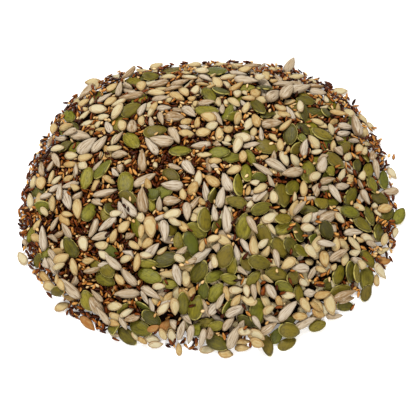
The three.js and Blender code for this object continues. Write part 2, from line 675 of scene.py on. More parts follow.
@dataclass(frozen=True)
class Patch:
    """A part of the heap that is richer or poorer in some kinds."""

    x_px: float
    y_px: float
    reach_px: float
    more: dict[Kind, float]  # how many times as likely each kind is in the middle of the patch


SEEN: dict[Kind, tuple[Seen, ...]] = {
    Kind.PUMPKIN: (
        # upper left
        Seen(69, 115, 300, 20, shade=0.9), Seen(116, 87, 20, 18), Seen(64, 145, 30, 17, shade=0.1),
        Seen(75, 146, 25, 17), Seen(135, 80, 320, 22), Seen(151, 77, 10, 18, 40),
        Seen(171.5, 68, 10, 23, shade=0.1), Seen(217, 71, 340, 24, shade=0.2), Seen(209, 95, 305, 23),
        Seen(130, 109, 35, 23, 35), Seen(155, 131, 10, 24), Seen(131, 141, 310, 24, shade=0.8),
        Seen(207, 110, 350, 24), Seen(181, 151, 5, 22), Seen(219, 151, 0, 22, shade=0.85),
        # upper right
        Seen(221, 91, 335, 20, shade=0.1), Seen(248, 87, 0, 16, 40), Seen(265, 89, 0, 18, shade=0.1),
        Seen(258, 106, 298, 24), Seen(269, 113, 30, 17, shade=0.15), Seen(306, 99, 170, 20, shade=0.2),
        Seen(304, 112, 90, 19, shade=0.05), Seen(316, 110, 0, 20, shade=0.15),
        Seen(327, 112, 350, 16, shade=0.05), Seen(291, 134, 75, 22, shade=0.15),
        Seen(227, 111, 60, 20, shade=0.8), Seen(234, 115, 35, 18, 50), Seen(267, 146, 340, 23),
        Seen(304, 127, 320, 17), Seen(302, 139, 80, 15), Seen(323, 133, 345, 24, shade=0.8),
        Seen(232, 156, 10, 20, shade=0.6), Seen(251, 155, 300, 18, 45, shade=0.8),
        Seen(297, 147, 45, 18, 45), Seen(345, 145, 50, 15, shade=0.05),
        Seen(335, 159, 330, 22, shade=0.2), Seen(357, 164, 70, 16, shade=0.1),
        # left and middle
        Seen(87, 178, 260, 24), Seen(103, 169, 45, 25), Seen(44, 208, 20, 14, 50),
        Seen(38, 190, 80, 14, shade=0.1), Seen(89, 212, 60, 22), Seen(106, 213, 0, 11),
        Seen(109, 208, 10, 12, shade=0.1), Seen(71, 247, 115, 23), Seen(31, 234, 60, 18),
        Seen(46, 254, 320, 12), Seen(111, 252, 0, 13, shade=0.1), Seen(128, 197, 330, 20, shade=0.1),
        Seen(125, 184, 270, 26, shade=0.7), Seen(171, 175, 330, 20), Seen(137, 227, 290, 21),
        Seen(154, 194, 90, 13, shade=0.1), Seen(151, 203, 100, 15, shade=0.9),
        Seen(197, 230, 330, 22, shade=0.7), Seen(205, 219, 90, 25, shade=0.6),
        Seen(178, 240, 95, 18, 30, shade=0.8), Seen(191, 246, 300, 27, shade=0.0),
        Seen(163, 192, 20, 20), Seen(172, 230, 80, 18, 50, shade=0.1),
        Seen(213, 194, 90, 14, 55, shade=0.1), Seen(217, 224, 60, 16),
        Seen(246, 171, 90, 21, shade=0.8), Seen(260, 176, 0, 16, 40, shade=0.1),
        Seen(238.5, 183, 92, 24, 45), Seen(236, 201, 170, 21, shade=0.5), Seen(261, 208, 25, 22),
        Seen(244, 226, 80, 27, shade=0.75), Seen(264, 234, 290, 23, shade=0.3),
        # right
        Seen(309, 171, 85, 25, shade=0.6), Seen(330, 169, 80, 13), Seen(292, 187, 230, 20, shade=0.4),
        Seen(283, 193, 270, 26, shade=0.3), Seen(309, 209, 350, 19, shade=0.3),
        Seen(321, 202, 60, 14, shade=0.7), Seen(333, 200, 20, 15, shade=0.4),
        Seen(350, 195, 50, 25, shade=0.4), Seen(350, 211, 350, 21, shade=0.6),
        Seen(369, 168, 65, 20, shade=0.8), Seen(372, 184, 290, 19, shade=0.6),
        Seen(384, 179, 80, 22, shade=0.2), Seen(380, 198, 345, 20, 40, shade=0.1),
        Seen(388, 213, 45, 20, shade=0.2), Seen(370, 215, 290, 21, shade=0.4),
        Seen(362, 223, 325, 22, shade=0.35), Seen(399, 217, 60, 21, shade=0.85),
        Seen(379, 232, 60, 23, shade=0.25), Seen(327, 232, 300, 22, shade=0.0),
        Seen(313, 238, 80, 12, 50, shade=0.1), Seen(284, 227, 30, 20),
        Seen(282, 219, 210, 21, shade=0.85), Seen(298, 232, 110, 20, shade=0.1),
        Seen(291, 247, 310, 22, shade=0.2), Seen(280, 247, 320, 24, shade=0.5),
        Seen(300, 252, 330, 16, shade=0.5), Seen(368, 257, 320, 21, shade=0.5),
        # lower left
        Seen(37, 260, 60, 16, shade=0.3), Seen(98, 266, 325, 18), Seen(106, 279, 335, 20),
        Seen(109, 273, 300, 14), Seen(60, 295, 20, 17, shade=0.1), Seen(88, 301, 100, 21, 45),
        Seen(122, 308, 50, 15, 40, shade=0.9), Seen(113, 329, 340, 12),
        Seen(127, 337, 315, 23, shade=0.2), Seen(166, 258, 15, 25, shade=0.15),
        Seen(149, 265, 0, 18, 45), Seen(151, 276, 335, 25, shade=0.8),
        Seen(199, 272, 60, 25, shade=0.4), Seen(214, 276, 20, 20, shade=0.7),
        Seen(170, 283, 350, 16, shade=0.9), Seen(183, 303, 95, 23, shade=0.5),
        Seen(196, 309, 75, 24, shade=0.5), Seen(204, 291, 80, 18, shade=0.1),
        Seen(215, 292, 60, 21, shade=0.9), Seen(142, 305, 330, 16, 40),
        Seen(152, 318, 325, 22, shade=0.0), Seen(141, 328, 335, 24, shade=0.4), Seen(206, 322, 10, 18),
        Seen(196, 330, 20, 14, shade=0.9), Seen(186, 259, 20, 12, shade=0.9),
        # lower right
        Seen(232, 266, 80, 20), Seen(225, 257, 60, 24, shade=0.3), Seen(229, 278, 150, 18, shade=0.9),
        Seen(246, 264, 300, 16, shade=0.1), Seen(259, 263, 340, 24, shade=0.4),
        Seen(253, 277, 50, 19, shade=0.6), Seen(276, 274, 350, 23, shade=0.4),
        Seen(285, 287, 325, 20, shade=0.6), Seen(293, 278, 340, 14, shade=0.1),
        Seen(300, 293, 285, 19, shade=0.6), Seen(257, 314, 275, 28, shade=0.6),
        Seen(227, 307, 75, 18, 45, shade=0.2), Seen(246, 320, 325, 20, shade=0.1),
        Seen(216, 325, 10, 16, shade=0.8), Seen(218, 342, 340, 24, shade=0.3),
        Seen(267, 345, 285, 21, shade=0.2), Seen(277, 335, 60, 18, shade=0.3),
        Seen(287, 344, 25, 20, shade=0.5), Seen(289, 332, 340, 23, shade=0.7),
        Seen(288, 320, 10, 18, shade=0.3), Seen(317, 325, 25, 18, shade=0.6),
        Seen(350, 272, 280, 22, shade=0.1), Seen(339, 273, 65, 21, shade=0.6),
        Seen(356, 274, 100, 20, 35, shade=0.7), Seen(341, 290, 20, 23, shade=0.4),
        Seen(345, 306, 5, 18, 30, shade=0.4), Seen(366, 294, 70, 18, shade=0.05),
        Seen(367, 279, 275, 25, shade=0.6), Seen(328, 284, 0, 10, shade=0.2),
    ),
    Kind.SUNFLOWER: (
        # upper left
        Seen(105, 96, 15, 20), Seen(108, 125, 120, 20), Seen(60, 137, 170, 17), Seen(70, 135, 180, 18),
        Seen(80, 135, 345, 24), Seen(88, 145, 45, 27), Seen(99, 144, 60, 24), Seen(50, 153, 170, 18),
        Seen(57, 161, 300, 20), Seen(158, 83, 212, 25, shade=0.1), Seen(180, 82, 0, 21),
        Seen(173, 87, 12, 20), Seen(161, 97, 355, 20), Seen(206, 77, 320, 17), Seen(131, 96, 190, 27),
        Seen(120, 89, 70, 17), Seen(126, 86, 115, 14), Seen(142, 108, 65, 20), Seen(132, 125, 105, 22),
        Seen(164, 106, 0, 16), Seen(178, 108, 0, 15, shade=0.1), Seen(175, 117, 8, 21, 60),
        Seen(161, 118, 285, 20), Seen(152, 121, 110, 16), Seen(174, 135, 300, 22),
        Seen(162, 141, 170, 25), Seen(152, 146, 125, 24), Seen(207, 104, 0, 18, 50),
        Seen(201, 145, 190, 21), Seen(142, 160, 92, 24), Seen(120, 153, 345, 22),
        Seen(119, 137, 60, 17),
        # upper right
        Seen(251, 65, 30, 25), Seen(262, 66, 57, 20, 60), Seen(247, 80, 342, 27), Seen(238, 74, 10, 20),
        Seen(279, 78, 100, 16, shade=0.2), Seen(290, 67, 62, 25), Seen(297, 82, 355, 17),
        Seen(273, 95, 53, 26), Seen(286, 93, 58, 23), Seen(301, 89, 35, 26), Seen(290, 111, 110, 20),
        Seen(272, 122.5, 8, 24), Seen(218, 118, 305, 18), Seen(223, 107, 80, 16),
        Seen(244, 103, 110, 17), Seen(261, 133, 90, 17), Seen(251, 143, 12, 18), Seen(304, 149, 80, 20),
        Seen(318, 91, 0, 20, 55), Seen(316, 87, 340, 17, shade=0.0), Seen(346, 125, 15, 20),
        Seen(356, 126, 95, 26, shade=0.8), Seen(345, 133, 35, 20), Seen(354, 139, 5, 15, 70),
        Seen(340, 151, 315, 12), Seen(372, 155, 90, 14),
        # left and middle
        Seen(52, 164, 50, 16), Seen(42, 169, 100, 19), Seen(75, 170, 80, 15), Seen(97, 164, 40, 15),
        Seen(104.5, 192, 20, 25), Seen(98, 202, 325, 14), Seen(67, 200, 290, 24), Seen(61, 194, 80, 19),
        Seen(71, 185, 205, 19), Seen(55, 188, 40, 15), Seen(77, 196, 30, 12), Seen(47, 198, 30, 13),
        Seen(54, 223, 45, 16), Seen(107, 223, 210, 23, shade=0.95), Seen(93.5, 228, 250, 21),
        Seen(101, 236, 195, 19), Seen(66, 231, 120, 20), Seen(58, 235, 200, 16, shade=0.0),
        Seen(53, 238, 325, 14, 60), Seen(44, 239, 90, 26), Seen(144, 179, 30, 26),
        Seen(143, 200, 95, 26), Seen(173, 185, 178, 23, shade=0.9), Seen(188, 168, 295, 20, shade=0.9),
        Seen(129, 207, 130, 24), Seen(121, 209, 110, 19), Seen(176, 167, 350, 16),
        Seen(207, 191, 100, 22, shade=0.9), Seen(165, 233, 272, 24, shade=0.9),
        Seen(159, 218, 203, 16, shade=0.9), Seen(151, 250, 50, 22, shade=0.9),
        Seen(130, 253, 310, 13, shade=0.9), Seen(195, 201, 45, 19), Seen(171, 199, 0, 18),
        Seen(202, 255, 25, 25, shade=0.9), Seen(183, 254, 40, 13), Seen(217, 246, 60, 11),
        Seen(121, 167, 300, 11, shade=0.1), Seen(159, 204, 90, 17), Seen(215, 212, 100, 18, shade=0.9),
        Seen(262, 170, 150, 23), Seen(227, 180, 110, 24, shade=0.9), Seen(221, 196, 75, 22, shade=0.9),
        Seen(227, 219, 95, 28, shade=0.9), Seen(252, 226, 300, 20), Seen(260, 195, 35, 19, shade=0.8),
        # right
        Seen(278, 166, 335, 27, shade=0.7), Seen(293, 173, 200, 26), Seen(307, 197, 190, 21),
        Seen(274, 156, 90, 15), Seen(315, 188, 60, 14), Seen(322, 166, 60, 21),
        Seen(298, 209, 50, 18, 60), Seen(277, 258, 280, 19), Seen(314, 217, 60, 13, shade=0.9),
        Seen(298, 217, 330, 11, shade=0.1), Seen(326, 187, 10, 15), Seen(328, 180, 20, 21),
        Seen(343, 187, 10, 22, shade=0.7), Seen(365, 197, 315, 18), Seen(376, 169, 285, 22),
        Seen(390, 190, 197, 22), Seen(360, 183, 92, 16, 50), Seen(336, 194, 310, 22, 60),
        Seen(320, 214, 55, 24, shade=0.9), Seen(327, 218, 22, 25, shade=0.3),
        Seen(333, 226, 310, 14, 60), Seen(354, 231, 5, 23, shade=0.8),
        Seen(326, 245, 350, 23, shade=0.95), Seen(338, 255, 35, 22, shade=0.2), Seen(373, 245, 325, 16),
        Seen(322, 157, 15, 13), Seen(237, 252, 100, 17, shade=0.95),
        Seen(246, 247, 300, 20, shade=0.95),
        # lower left
        Seen(54, 257, 300, 17), Seen(54, 268, 300, 24), Seen(47, 265, 75, 11), Seen(106, 265, 10, 16),
        Seen(113, 264, 140, 22, shade=0.8), Seen(128, 276, 127, 25, shade=0.5),
        Seen(92, 272, 190, 20, 60), Seen(71, 290, 132, 28), Seen(97, 298, 145, 17, shade=0.3),
        Seen(96, 306, 125, 22), Seen(104, 317, 120, 22), Seen(114, 334, 325, 14, 60),
        Seen(75, 281, 60, 12, 70), Seen(127, 293, 182, 25, shade=0.3),
        Seen(150, 293, 330, 25, shade=0.7), Seen(144, 298, 290, 16, shade=0.9), Seen(151, 305, 280, 16),
        Seen(166, 305, 50, 13, shade=0.9), Seen(177, 275, 285, 21, shade=0.9), Seen(187, 318, 310, 17),
        Seen(182, 330, 65, 21, shade=0.8), Seen(191, 336, 262, 21, shade=0.8),
        Seen(202, 341, 250, 22, shade=0.8), Seen(209, 334, 80, 12, 60), Seen(214, 309, 45, 20),
        Seen(206, 309, 280, 20, 40), Seen(212, 264, 65, 16), Seen(133, 318, 195, 17, shade=0.0),
        Seen(124, 324, 300, 15), Seen(190, 265, 200, 15),
        # lower right
        Seen(241, 270, 325, 16), Seen(300, 268, 185, 20), Seen(272, 291, 305, 18),
        Seen(254, 294, 280, 17), Seen(287, 311, 48, 27, shade=0.9), Seen(234, 311, 35, 20, shade=0.9),
        Seen(221, 303, 70, 17), Seen(228, 324, 55, 17), Seen(240, 326, 60, 17), Seen(234, 337, 70, 26),
        Seen(271, 320, 345, 19), Seen(268, 330, 35, 20), Seen(257, 325, 300, 17),
        Seen(305, 323, 25, 25), Seen(314, 271, 60, 18), Seen(310, 291, 20, 13, shade=0.9),
        Seen(334, 317, 0, 18), Seen(343, 297, 25, 26, shade=0.0), Seen(346, 301, 15, 18, 60, shade=0.0),
        Seen(358, 262, 330, 14),
    ),
    Kind.MELON: (
        # upper left
        Seen(93, 83, 180, 17), Seen(77, 99, 230, 15), Seen(98, 107, 342, 21), Seen(112, 87, 30, 15),
        Seen(103, 114, 340, 16), Seen(117, 112, 45, 20), Seen(84, 114, 20, 16), Seen(86, 121, 15, 16),
        Seen(92, 126, 270, 16), Seen(100, 127, 0, 12), Seen(67, 128, 0, 17, 60), Seen(58, 149, 350, 17),
        Seen(71, 154, 0, 15), Seen(86, 157, 0, 16), Seen(143, 70, 20, 16), Seen(169, 75, 340, 19),
        Seen(190, 76.5, 335, 18), Seen(162, 87, 0, 16), Seen(156, 92, 350, 20),
        Seen(177, 95.5, 325, 18), Seen(184, 91, 295, 18), Seen(195.5, 89, 70, 14),
        Seen(202, 66, 35, 16), Seen(203, 84, 20, 15), Seen(142, 118, 90, 16), Seen(154, 106, 60, 13),
        Seen(186, 134, 0, 17), Seen(187, 121, 30, 14), Seen(198, 122, 80, 14, shade=0.1),
        Seen(208, 118.5, 165, 17), Seen(212, 126, 20, 14), Seen(204, 154, 0, 16),
        Seen(114, 138, 250, 14),
        # upper right
        Seen(267.5, 74, 270, 17), Seen(227, 76, 220, 20), Seen(237.5, 91.5, 270, 16, shade=0.9),
        Seen(234.5, 101, 305, 18), Seen(260, 79, 20, 12), Seen(297, 75, 20, 19),
        Seen(257, 91, 40, 15, shade=0.1), Seen(262, 98, 0, 14), Seen(290.5, 100.5, 10, 13),
        Seen(300, 107, 90, 16), Seen(318.5, 99, 70, 12), Seen(284, 113, 330, 15, shade=0.2),
        Seen(286, 126, 50, 18, shade=0.3), Seen(238, 118, 270, 14), Seen(248, 122, 240, 18),
        Seen(228, 128, 50, 15), Seen(220, 133, 95, 17), Seen(247, 107, 65, 15), Seen(254, 130, 270, 14),
        Seen(281, 143, 95, 15, shade=0.2), Seen(314, 141, 128, 18), Seen(317, 119.5, 170, 15),
        Seen(262, 155, 0, 14, shade=0.1), Seen(285, 157, 285, 18, shade=0.9), Seen(295, 158, 130, 16),
        Seen(243, 155, 90, 16), Seen(316.5, 151.5, 10, 12), Seen(340, 92.5, 0, 17),
        Seen(326, 98.5, 90, 12), Seen(338, 107, 90, 13, shade=0.1), Seen(349, 111, 130, 17),
        Seen(323, 123, 340, 12), Seen(334, 121, 30, 15, 40), Seen(362.5, 118, 290, 15),
        Seen(364, 132, 230, 15), Seen(370, 127, 315, 11), Seen(331, 128, 300, 13),
        Seen(333, 144, 90, 13), Seen(360, 147, 90, 15), Seen(364, 151, 60, 13), Seen(350, 155, 35, 18),
        Seen(368, 141, 110, 9), Seen(379, 154, 10, 12),
        # left and middle
        Seen(41.5, 184, 285, 16), Seen(34, 182, 80, 15), Seen(51, 177, 260, 16), Seen(56, 179, 30, 14),
        Seen(69, 177, 20, 12, shade=0.1), Seen(70, 163, 0, 16), Seen(82, 165, 320, 16, shade=0.9),
        Seen(109.5, 178, 330, 15), Seen(94.5, 183.5, 60, 15), Seen(78, 210, 280, 21),
        Seen(76, 188, 0, 10), Seen(31, 202, 90, 17), Seen(40, 200, 90, 15, shade=0.2),
        Seen(52, 203, 280, 18, shade=0.3), Seen(45, 213, 300, 11), Seen(67, 214, 340, 13),
        Seen(63.5, 220, 320, 16, shade=0.0), Seen(116, 214, 10, 13), Seen(114, 235, 60, 16),
        Seen(83, 243, 280, 16, shade=0.9), Seen(101.5, 246, 155, 19), Seen(62, 243, 90, 11),
        Seen(36, 238, 320, 13), Seen(37, 224, 60, 13, shade=0.2), Seen(58, 250, 10, 15),
        Seen(104, 255, 150, 13), Seen(199, 177, 85, 17, shade=0.95), Seen(212, 180, 140, 18, shade=0.1),
        Seen(192, 187, 60, 16), Seen(182, 192, 100, 14), Seen(148, 185, 90, 13, shade=0.0),
        Seen(123.5, 225, 45, 15), Seen(150, 228, 280, 22), Seen(142, 232, 260, 14, shade=0.2),
        Seen(147, 243, 225, 14), Seen(132, 243, 147, 18, shade=0.3), Seen(162, 249, 45, 13),
        Seen(147, 257, 0, 13, shade=0.95), Seen(183, 226, 125, 18), Seen(175, 222, 340, 15),
        Seen(172, 214.5, 195, 19), Seen(215, 160, 10, 14), Seen(202, 247, 70, 14, shade=0.2),
        Seen(214, 239, 20, 14), Seen(194, 216, 120, 12), Seen(127, 259, 0, 16), Seen(140, 258, 60, 12),
        Seen(224, 240, 330, 16), Seen(254, 246, 90, 22, shade=0.4),
        # right
        Seen(303.5, 187, 90, 17), Seen(315, 177, 30, 17), Seen(294, 207, 70, 17),
        Seen(274, 196, 100, 14), Seen(266, 195, 60, 13), Seen(270, 217, 30, 18, shade=0.9),
        Seen(308, 228, 350, 16, shade=0.9), Seen(308, 219, 60, 15, shade=0.9),
        Seen(267, 251, 60, 14, shade=0.3), Seen(263, 244, 45, 13, shade=0.9), Seen(310, 253, 320, 17),
        Seen(316, 244, 70, 18), Seen(294, 196, 100, 11), Seen(248, 189, 80, 11),
        Seen(272, 229, 310, 13), Seen(360, 206, 340, 13), Seen(342.5, 173, 65, 15, shade=0.8),
        Seen(350.5, 176, 75, 13), Seen(385, 207, 20, 18), Seen(391.5, 174, 300, 15),
        Seen(339, 219, 335, 16), Seen(368, 237, 330, 16), Seen(384, 239, 65, 15),
        Seen(383, 250, 25, 16), Seen(345, 243, 325, 18, shade=0.4), Seen(355, 244, 300, 18),
        Seen(336, 244, 80, 15), Seen(324, 258, 285, 17), Seen(354, 253, 330, 10, shade=0.9),
        Seen(363, 175, 290, 10), Seen(385, 260, 10, 14, shade=-0.6), Seen(379, 211, 300, 11, shade=0.9),
        Seen(345, 259, 250, 14),
        # lower left
        Seen(23.5, 259, 125, 16), Seen(62, 259, 30, 17, shade=0.3), Seen(59, 268, 30, 14),
        Seen(74, 268, 95, 19, shade=0.4), Seen(88, 261, 20, 15, shade=0.2), Seen(44, 277, 325, 17),
        Seen(50, 286, 335, 15), Seen(59, 282, 110, 11, shade=0.2), Seen(63, 289, 305, 14, shade=0.2),
        Seen(70, 297, 340, 12, shade=0.0), Seen(62.5, 306.5, 25, 16, shade=0.3),
        Seen(88, 322, 315, 19, shade=-0.5), Seen(114, 306, 15, 17), Seen(116, 317, 335, 16, shade=0.3),
        Seen(114, 324, 340, 14, shade=0.0), Seen(138, 264, 75, 18, shade=0.2),
        Seen(120, 279, 120, 14, 45, shade=0.2), Seen(167, 274, 175, 16),
        Seen(186, 277, 100, 17, shade=0.5), Seen(179, 261, 330, 12), Seen(192, 291, 70, 13, shade=0.0),
        Seen(168, 298, 60, 14), Seen(158, 300, 350, 14), Seen(175, 309, 290, 17),
        Seen(164, 311, 50, 16, shade=0.9), Seen(128, 313, 35, 16, 40),
        Seen(154, 330, 30, 13, shade=-0.3), Seen(165, 325, 45, 16, shade=-0.4),
        Seen(152, 338, 345, 16, shade=0.9), Seen(163, 335, 100, 15, shade=0.4),
        Seen(172, 335, 100, 15, shade=0.9), Seen(156, 345, 0, 15), Seen(208, 350, 5, 16),
        Seen(143, 341, 320, 11, shade=0.0), Seen(136, 337, 330, 12), Seen(179, 349, 95, 13, shade=0.1),
        Seen(159, 286, 10, 13), Seen(215, 263, 100, 14),
        # lower right
        Seen(288, 264, 215, 17, shade=0.3), Seen(310, 261, 30, 14, shade=0.3), Seen(226, 295, 285, 15),
        Seen(236, 289, 10, 16, shade=0.8), Seen(247, 291, 280, 13, shade=0.9), Seen(258, 289, 300, 14),
        Seen(268, 310, 20, 15, shade=0.5), Seen(266, 300, 130, 20, shade=0.5),
        Seen(236, 301, 60, 15, shade=0.2), Seen(249, 301, 150, 17), Seen(279, 303, 300, 14),
        Seen(288, 296, 0, 14, shade=0.8), Seen(305, 306, 310, 18, shade=0.4), Seen(300, 317, 5, 16),
        Seen(315, 308, 320, 13, shade=0.1), Seen(318, 315, 345, 16, shade=0.0),
        Seen(303.5, 282, 340, 13, shade=1.0), Seen(257, 337, 320, 17),
        Seen(244, 334, 350, 14, shade=0.8), Seen(256, 346, 330, 15, shade=0.2),
        Seen(243, 341, 0, 14, 50, shade=0.1), Seen(243, 347, 5, 15),
        Seen(225.5, 354, 350, 15, shade=0.2), Seen(268, 279, 320, 13, 60), Seen(380, 271, 315, 19),
        Seen(376, 281, 80, 13, shade=0.3), Seen(323, 293.5, 10, 18), Seen(319, 303, 305, 16),
        Seen(330, 305, 280, 22, shade=0.5), Seen(360, 268, 0, 10), Seen(321, 270, 330, 12, shade=0.2),
    ),
    Kind.LINSEED: (
        # upper left
        Seen(66, 103, 180), Seen(59, 116, 180), Seen(59, 121, 200), Seen(61, 125, 170),
        Seen(86, 97, 70), Seen(90, 97, 80), Seen(94, 97, 75), Seen(96, 92, 80), Seen(113, 81, 40),
        Seen(117, 81, 20), Seen(43.5, 141, 40), Seen(39, 154, 100), Seen(37, 158, 80),
        Seen(145, 92, 20), Seen(147, 98, 60), Seen(174, 102, 0), Seen(188, 107, 50), Seen(186, 104, 0),
        Seen(199, 127, 0), Seen(202, 129, 60), Seen(204, 149, 60),
        # upper right
        Seen(281, 74, 90), Seen(312, 79, 300), Seen(317.5, 79.5, 40), Seen(327.5, 84.5, 150, 10),
        Seen(330, 88, 350, 10), Seen(333, 96, 300), Seen(342, 98, 20), Seen(346, 97, 80),
        Seen(344, 101, 10), Seen(348, 103, 0), Seen(354, 102, 60), Seen(356, 107, 10),
        Seen(357, 111, 300), Seen(325.5, 117, 50), Seen(332, 114, 30), Seen(374, 129, 0),
        Seen(371, 135, 50), Seen(376, 142, 300), Seen(380, 146, 290), Seen(377, 149, 60),
        Seen(384, 153, 330), Seen(393, 157, 80), Seen(369, 155, 90), Seen(308, 153, 280),
        # left and middle
        Seen(61, 173, 0), Seen(98, 185, 60), Seen(112, 196, 70), Seen(116, 199, 40), Seen(104, 200, 30),
        Seen(69, 195, 310), Seen(85, 196, 10), Seen(85, 190, 0), Seen(28, 189, 170), Seen(33, 190, 20),
        Seen(30, 164, 240), Seen(35, 165, 250), Seen(23, 200, 310), Seen(25, 207, 300),
        Seen(27, 212, 300), Seen(24, 216, 10), Seen(23, 224, 0), Seen(33, 213, 60), Seen(52, 215, 50),
        Seen(58, 206, 90), Seen(50, 220, 30), Seen(45, 222, 60), Seen(97, 209, 330), Seen(98, 215, 300),
        Seen(115, 206, 340), Seen(107, 234, 50), Seen(29, 243, 40), Seen(33, 249, 0), Seen(36, 246, 20),
        Seen(33, 253, 200), Seen(29, 255, 320), Seen(80, 228, 0), Seen(76, 221, 290), Seen(84, 224, 10),
        Seen(133, 158, 60), Seen(135, 162, 50), Seen(152, 163, 10), Seen(157, 159, 40),
        Seen(163, 156, 60), Seen(166, 162, 0), Seen(162, 166, 20), Seen(149, 169, 340),
        Seen(158, 173, 320), Seen(186, 180, 0), Seen(135, 205, 300), Seen(129, 211, 290),
        Seen(125, 208, 300), Seen(146, 192, 330), Seen(157, 228, 90), Seen(158, 235, 60),
        Seen(190, 232, 320), Seen(205, 243, 280), Seen(176, 206, 20), Seen(217, 225, 300),
        # right
        Seen(258, 158, 80), Seen(276, 177, 20), Seen(304, 173, 80), Seen(271, 208, 0),
        Seen(236, 217, 70), Seen(233, 222, 45), Seen(235, 228, 280), Seen(234, 236, 80),
        Seen(290, 228, 20), Seen(293, 226, 10), Seen(318, 220, 20), Seen(305, 237, 0),
        Seen(308, 243, 100), Seen(291, 253, 80), Seen(337, 166, 30), Seen(337, 171, 50),
        Seen(349, 166, 330), Seen(346, 178, 30, 10), Seen(355, 172, 280, 9), Seen(357, 180, 280),
        Seen(364, 183, 70), Seen(369, 189, 350, 9), Seen(320, 187, 80), Seen(350, 221, 10, 10),
        Seen(343, 226, 40), Seen(342, 231, 280), Seen(329, 209, 0), Seen(318, 225, 0),
        Seen(365, 247, 340, 10), Seen(390, 226, 45), Seen(394, 228, 50), Seen(386, 165, 60),
        Seen(391, 184, 90), Seen(396, 206, 290), Seen(391, 200, 320), Seen(391, 236, 60),
        # lower left
        Seen(37, 269, 170), Seen(49, 272, 320), Seen(62, 274, 20), Seen(68, 270, 80), Seen(80, 283, 50),
        Seen(98, 288, 0), Seen(106, 294, 60), Seen(107, 299, 40), Seen(76, 311.5, 10, 8),
        Seen(79, 307, 330), Seen(92, 318, 340), Seen(98, 326, 320), Seen(103, 330, 330),
        Seen(117, 340, 330, 9), Seen(167, 290, 0), Seen(119, 298, 330), Seen(131, 308, 0),
        Seen(138, 316, 340), Seen(160, 306, 40), Seen(194, 299, 60), Seen(192, 308, 20),
        Seen(168, 345, 330), Seen(186, 345, 330), Seen(192, 347, 20), Seen(196, 348, 0),
        # lower right
        Seen(250, 347, 90, 7), Seen(292, 273, 345), Seen(290, 283, 300), Seen(243, 280, 80),
        Seen(237, 281, 0), Seen(283, 294, 20), Seen(277, 288, 70), Seen(263, 291, 80, 11),
        Seen(244, 308, 300), Seen(249, 316, 320), Seen(218, 313, 300), Seen(223, 317, 60),
        Seen(279, 308, 10), Seen(246, 256, 60, 10), Seen(246, 332, 60), Seen(301, 276, 340),
        Seen(329, 270, 80), Seen(323, 275, 40), Seen(320, 283, 0, 12), Seen(320, 286, 350, 10),
        Seen(352, 308, 60), Seen(356, 286, 0), Seen(390, 260, 300), Seen(363, 264, 330),
    ),
    Kind.SESAME: (
        Seen(345, 97, 40), Seen(22, 221, 270), Seen(25, 229, 0), Seen(26, 246, 60), Seen(39, 231, 310),
        Seen(380, 140, 30), Seen(389, 156, 60), Seen(30, 174, 60), Seen(156, 134, 30),
        Seen(120, 163, 60), Seen(114, 169, 30), Seen(162, 169, 45), Seen(130, 200, 80),
        Seen(172, 238, 60), Seen(187, 183, 30), Seen(181, 162, 40), Seen(147, 163, 90),
        Seen(143, 185, 40), Seen(205, 163, 10), Seen(295, 233, 350), Seen(302, 164, 330),
        Seen(335, 205, 20), Seen(391, 240, 300), Seen(276, 272, 80), Seen(171, 268, 20),
        Seen(154, 268, 350), Seen(187, 266, 330), Seen(182, 268, 0), Seen(203, 283, 40),
        Seen(202, 314, 20), Seen(88, 287, 45), Seen(102, 324, 330), Seen(310, 279, 10),
        Seen(285, 303, 320), Seen(267, 325, 40), Seen(155, 315, 60), Seen(315, 162, 30),
        Seen(304, 158, 40), Seen(377, 192, 20),
    ),
}

# The order in which kinds tend to be laid where the photograph shows them
LAID_AFTER = {
    Kind.PUMPKIN: 0.0, Kind.SUNFLOWER: 0.35, Kind.MELON: 0.4, Kind.LINSEED: 1.4, Kind.SESAME: 1.5,
}

PATCHES: tuple[Patch, ...] = (
    Patch(165, 150, 34, {Kind.LINSEED: 1.6, Kind.SESAME: 1.4, Kind.PUMPKIN: 0.7}),
    Patch(50, 205, 45, {Kind.LINSEED: 1.5, Kind.SESAME: 1.3, Kind.PUMPKIN: 0.7}),
    Patch(90, 280, 40, {Kind.LINSEED: 1.5, Kind.SESAME: 1.3, Kind.SUNFLOWER: 0.8}),
    Patch(250, 290, 80, {Kind.MELON: 1.8, Kind.SUNFLOWER: 1.3, Kind.PUMPKIN: 0.5}),
    Patch(200, 80, 50, {Kind.MELON: 1.3, Kind.SUNFLOWER: 1.3}),
)


@dataclass(frozen=True)
class Pour:
    """One stage in pouring out the heap."""

    counts: dict[Kind, int]
    highest: float = 0.0  # how far a seed's upper side may rise over the heap's surface
    cover_share: float = 0.12  # how much of a seed may lie over one that stays clear
    spots: int = 8  # places compared for each seed; the lowest-lying one gets it
    stays_clear: bool = False  # whether its large seeds are left in sight
    from_share: float = 0.0  # of the way to the outline, where it starts


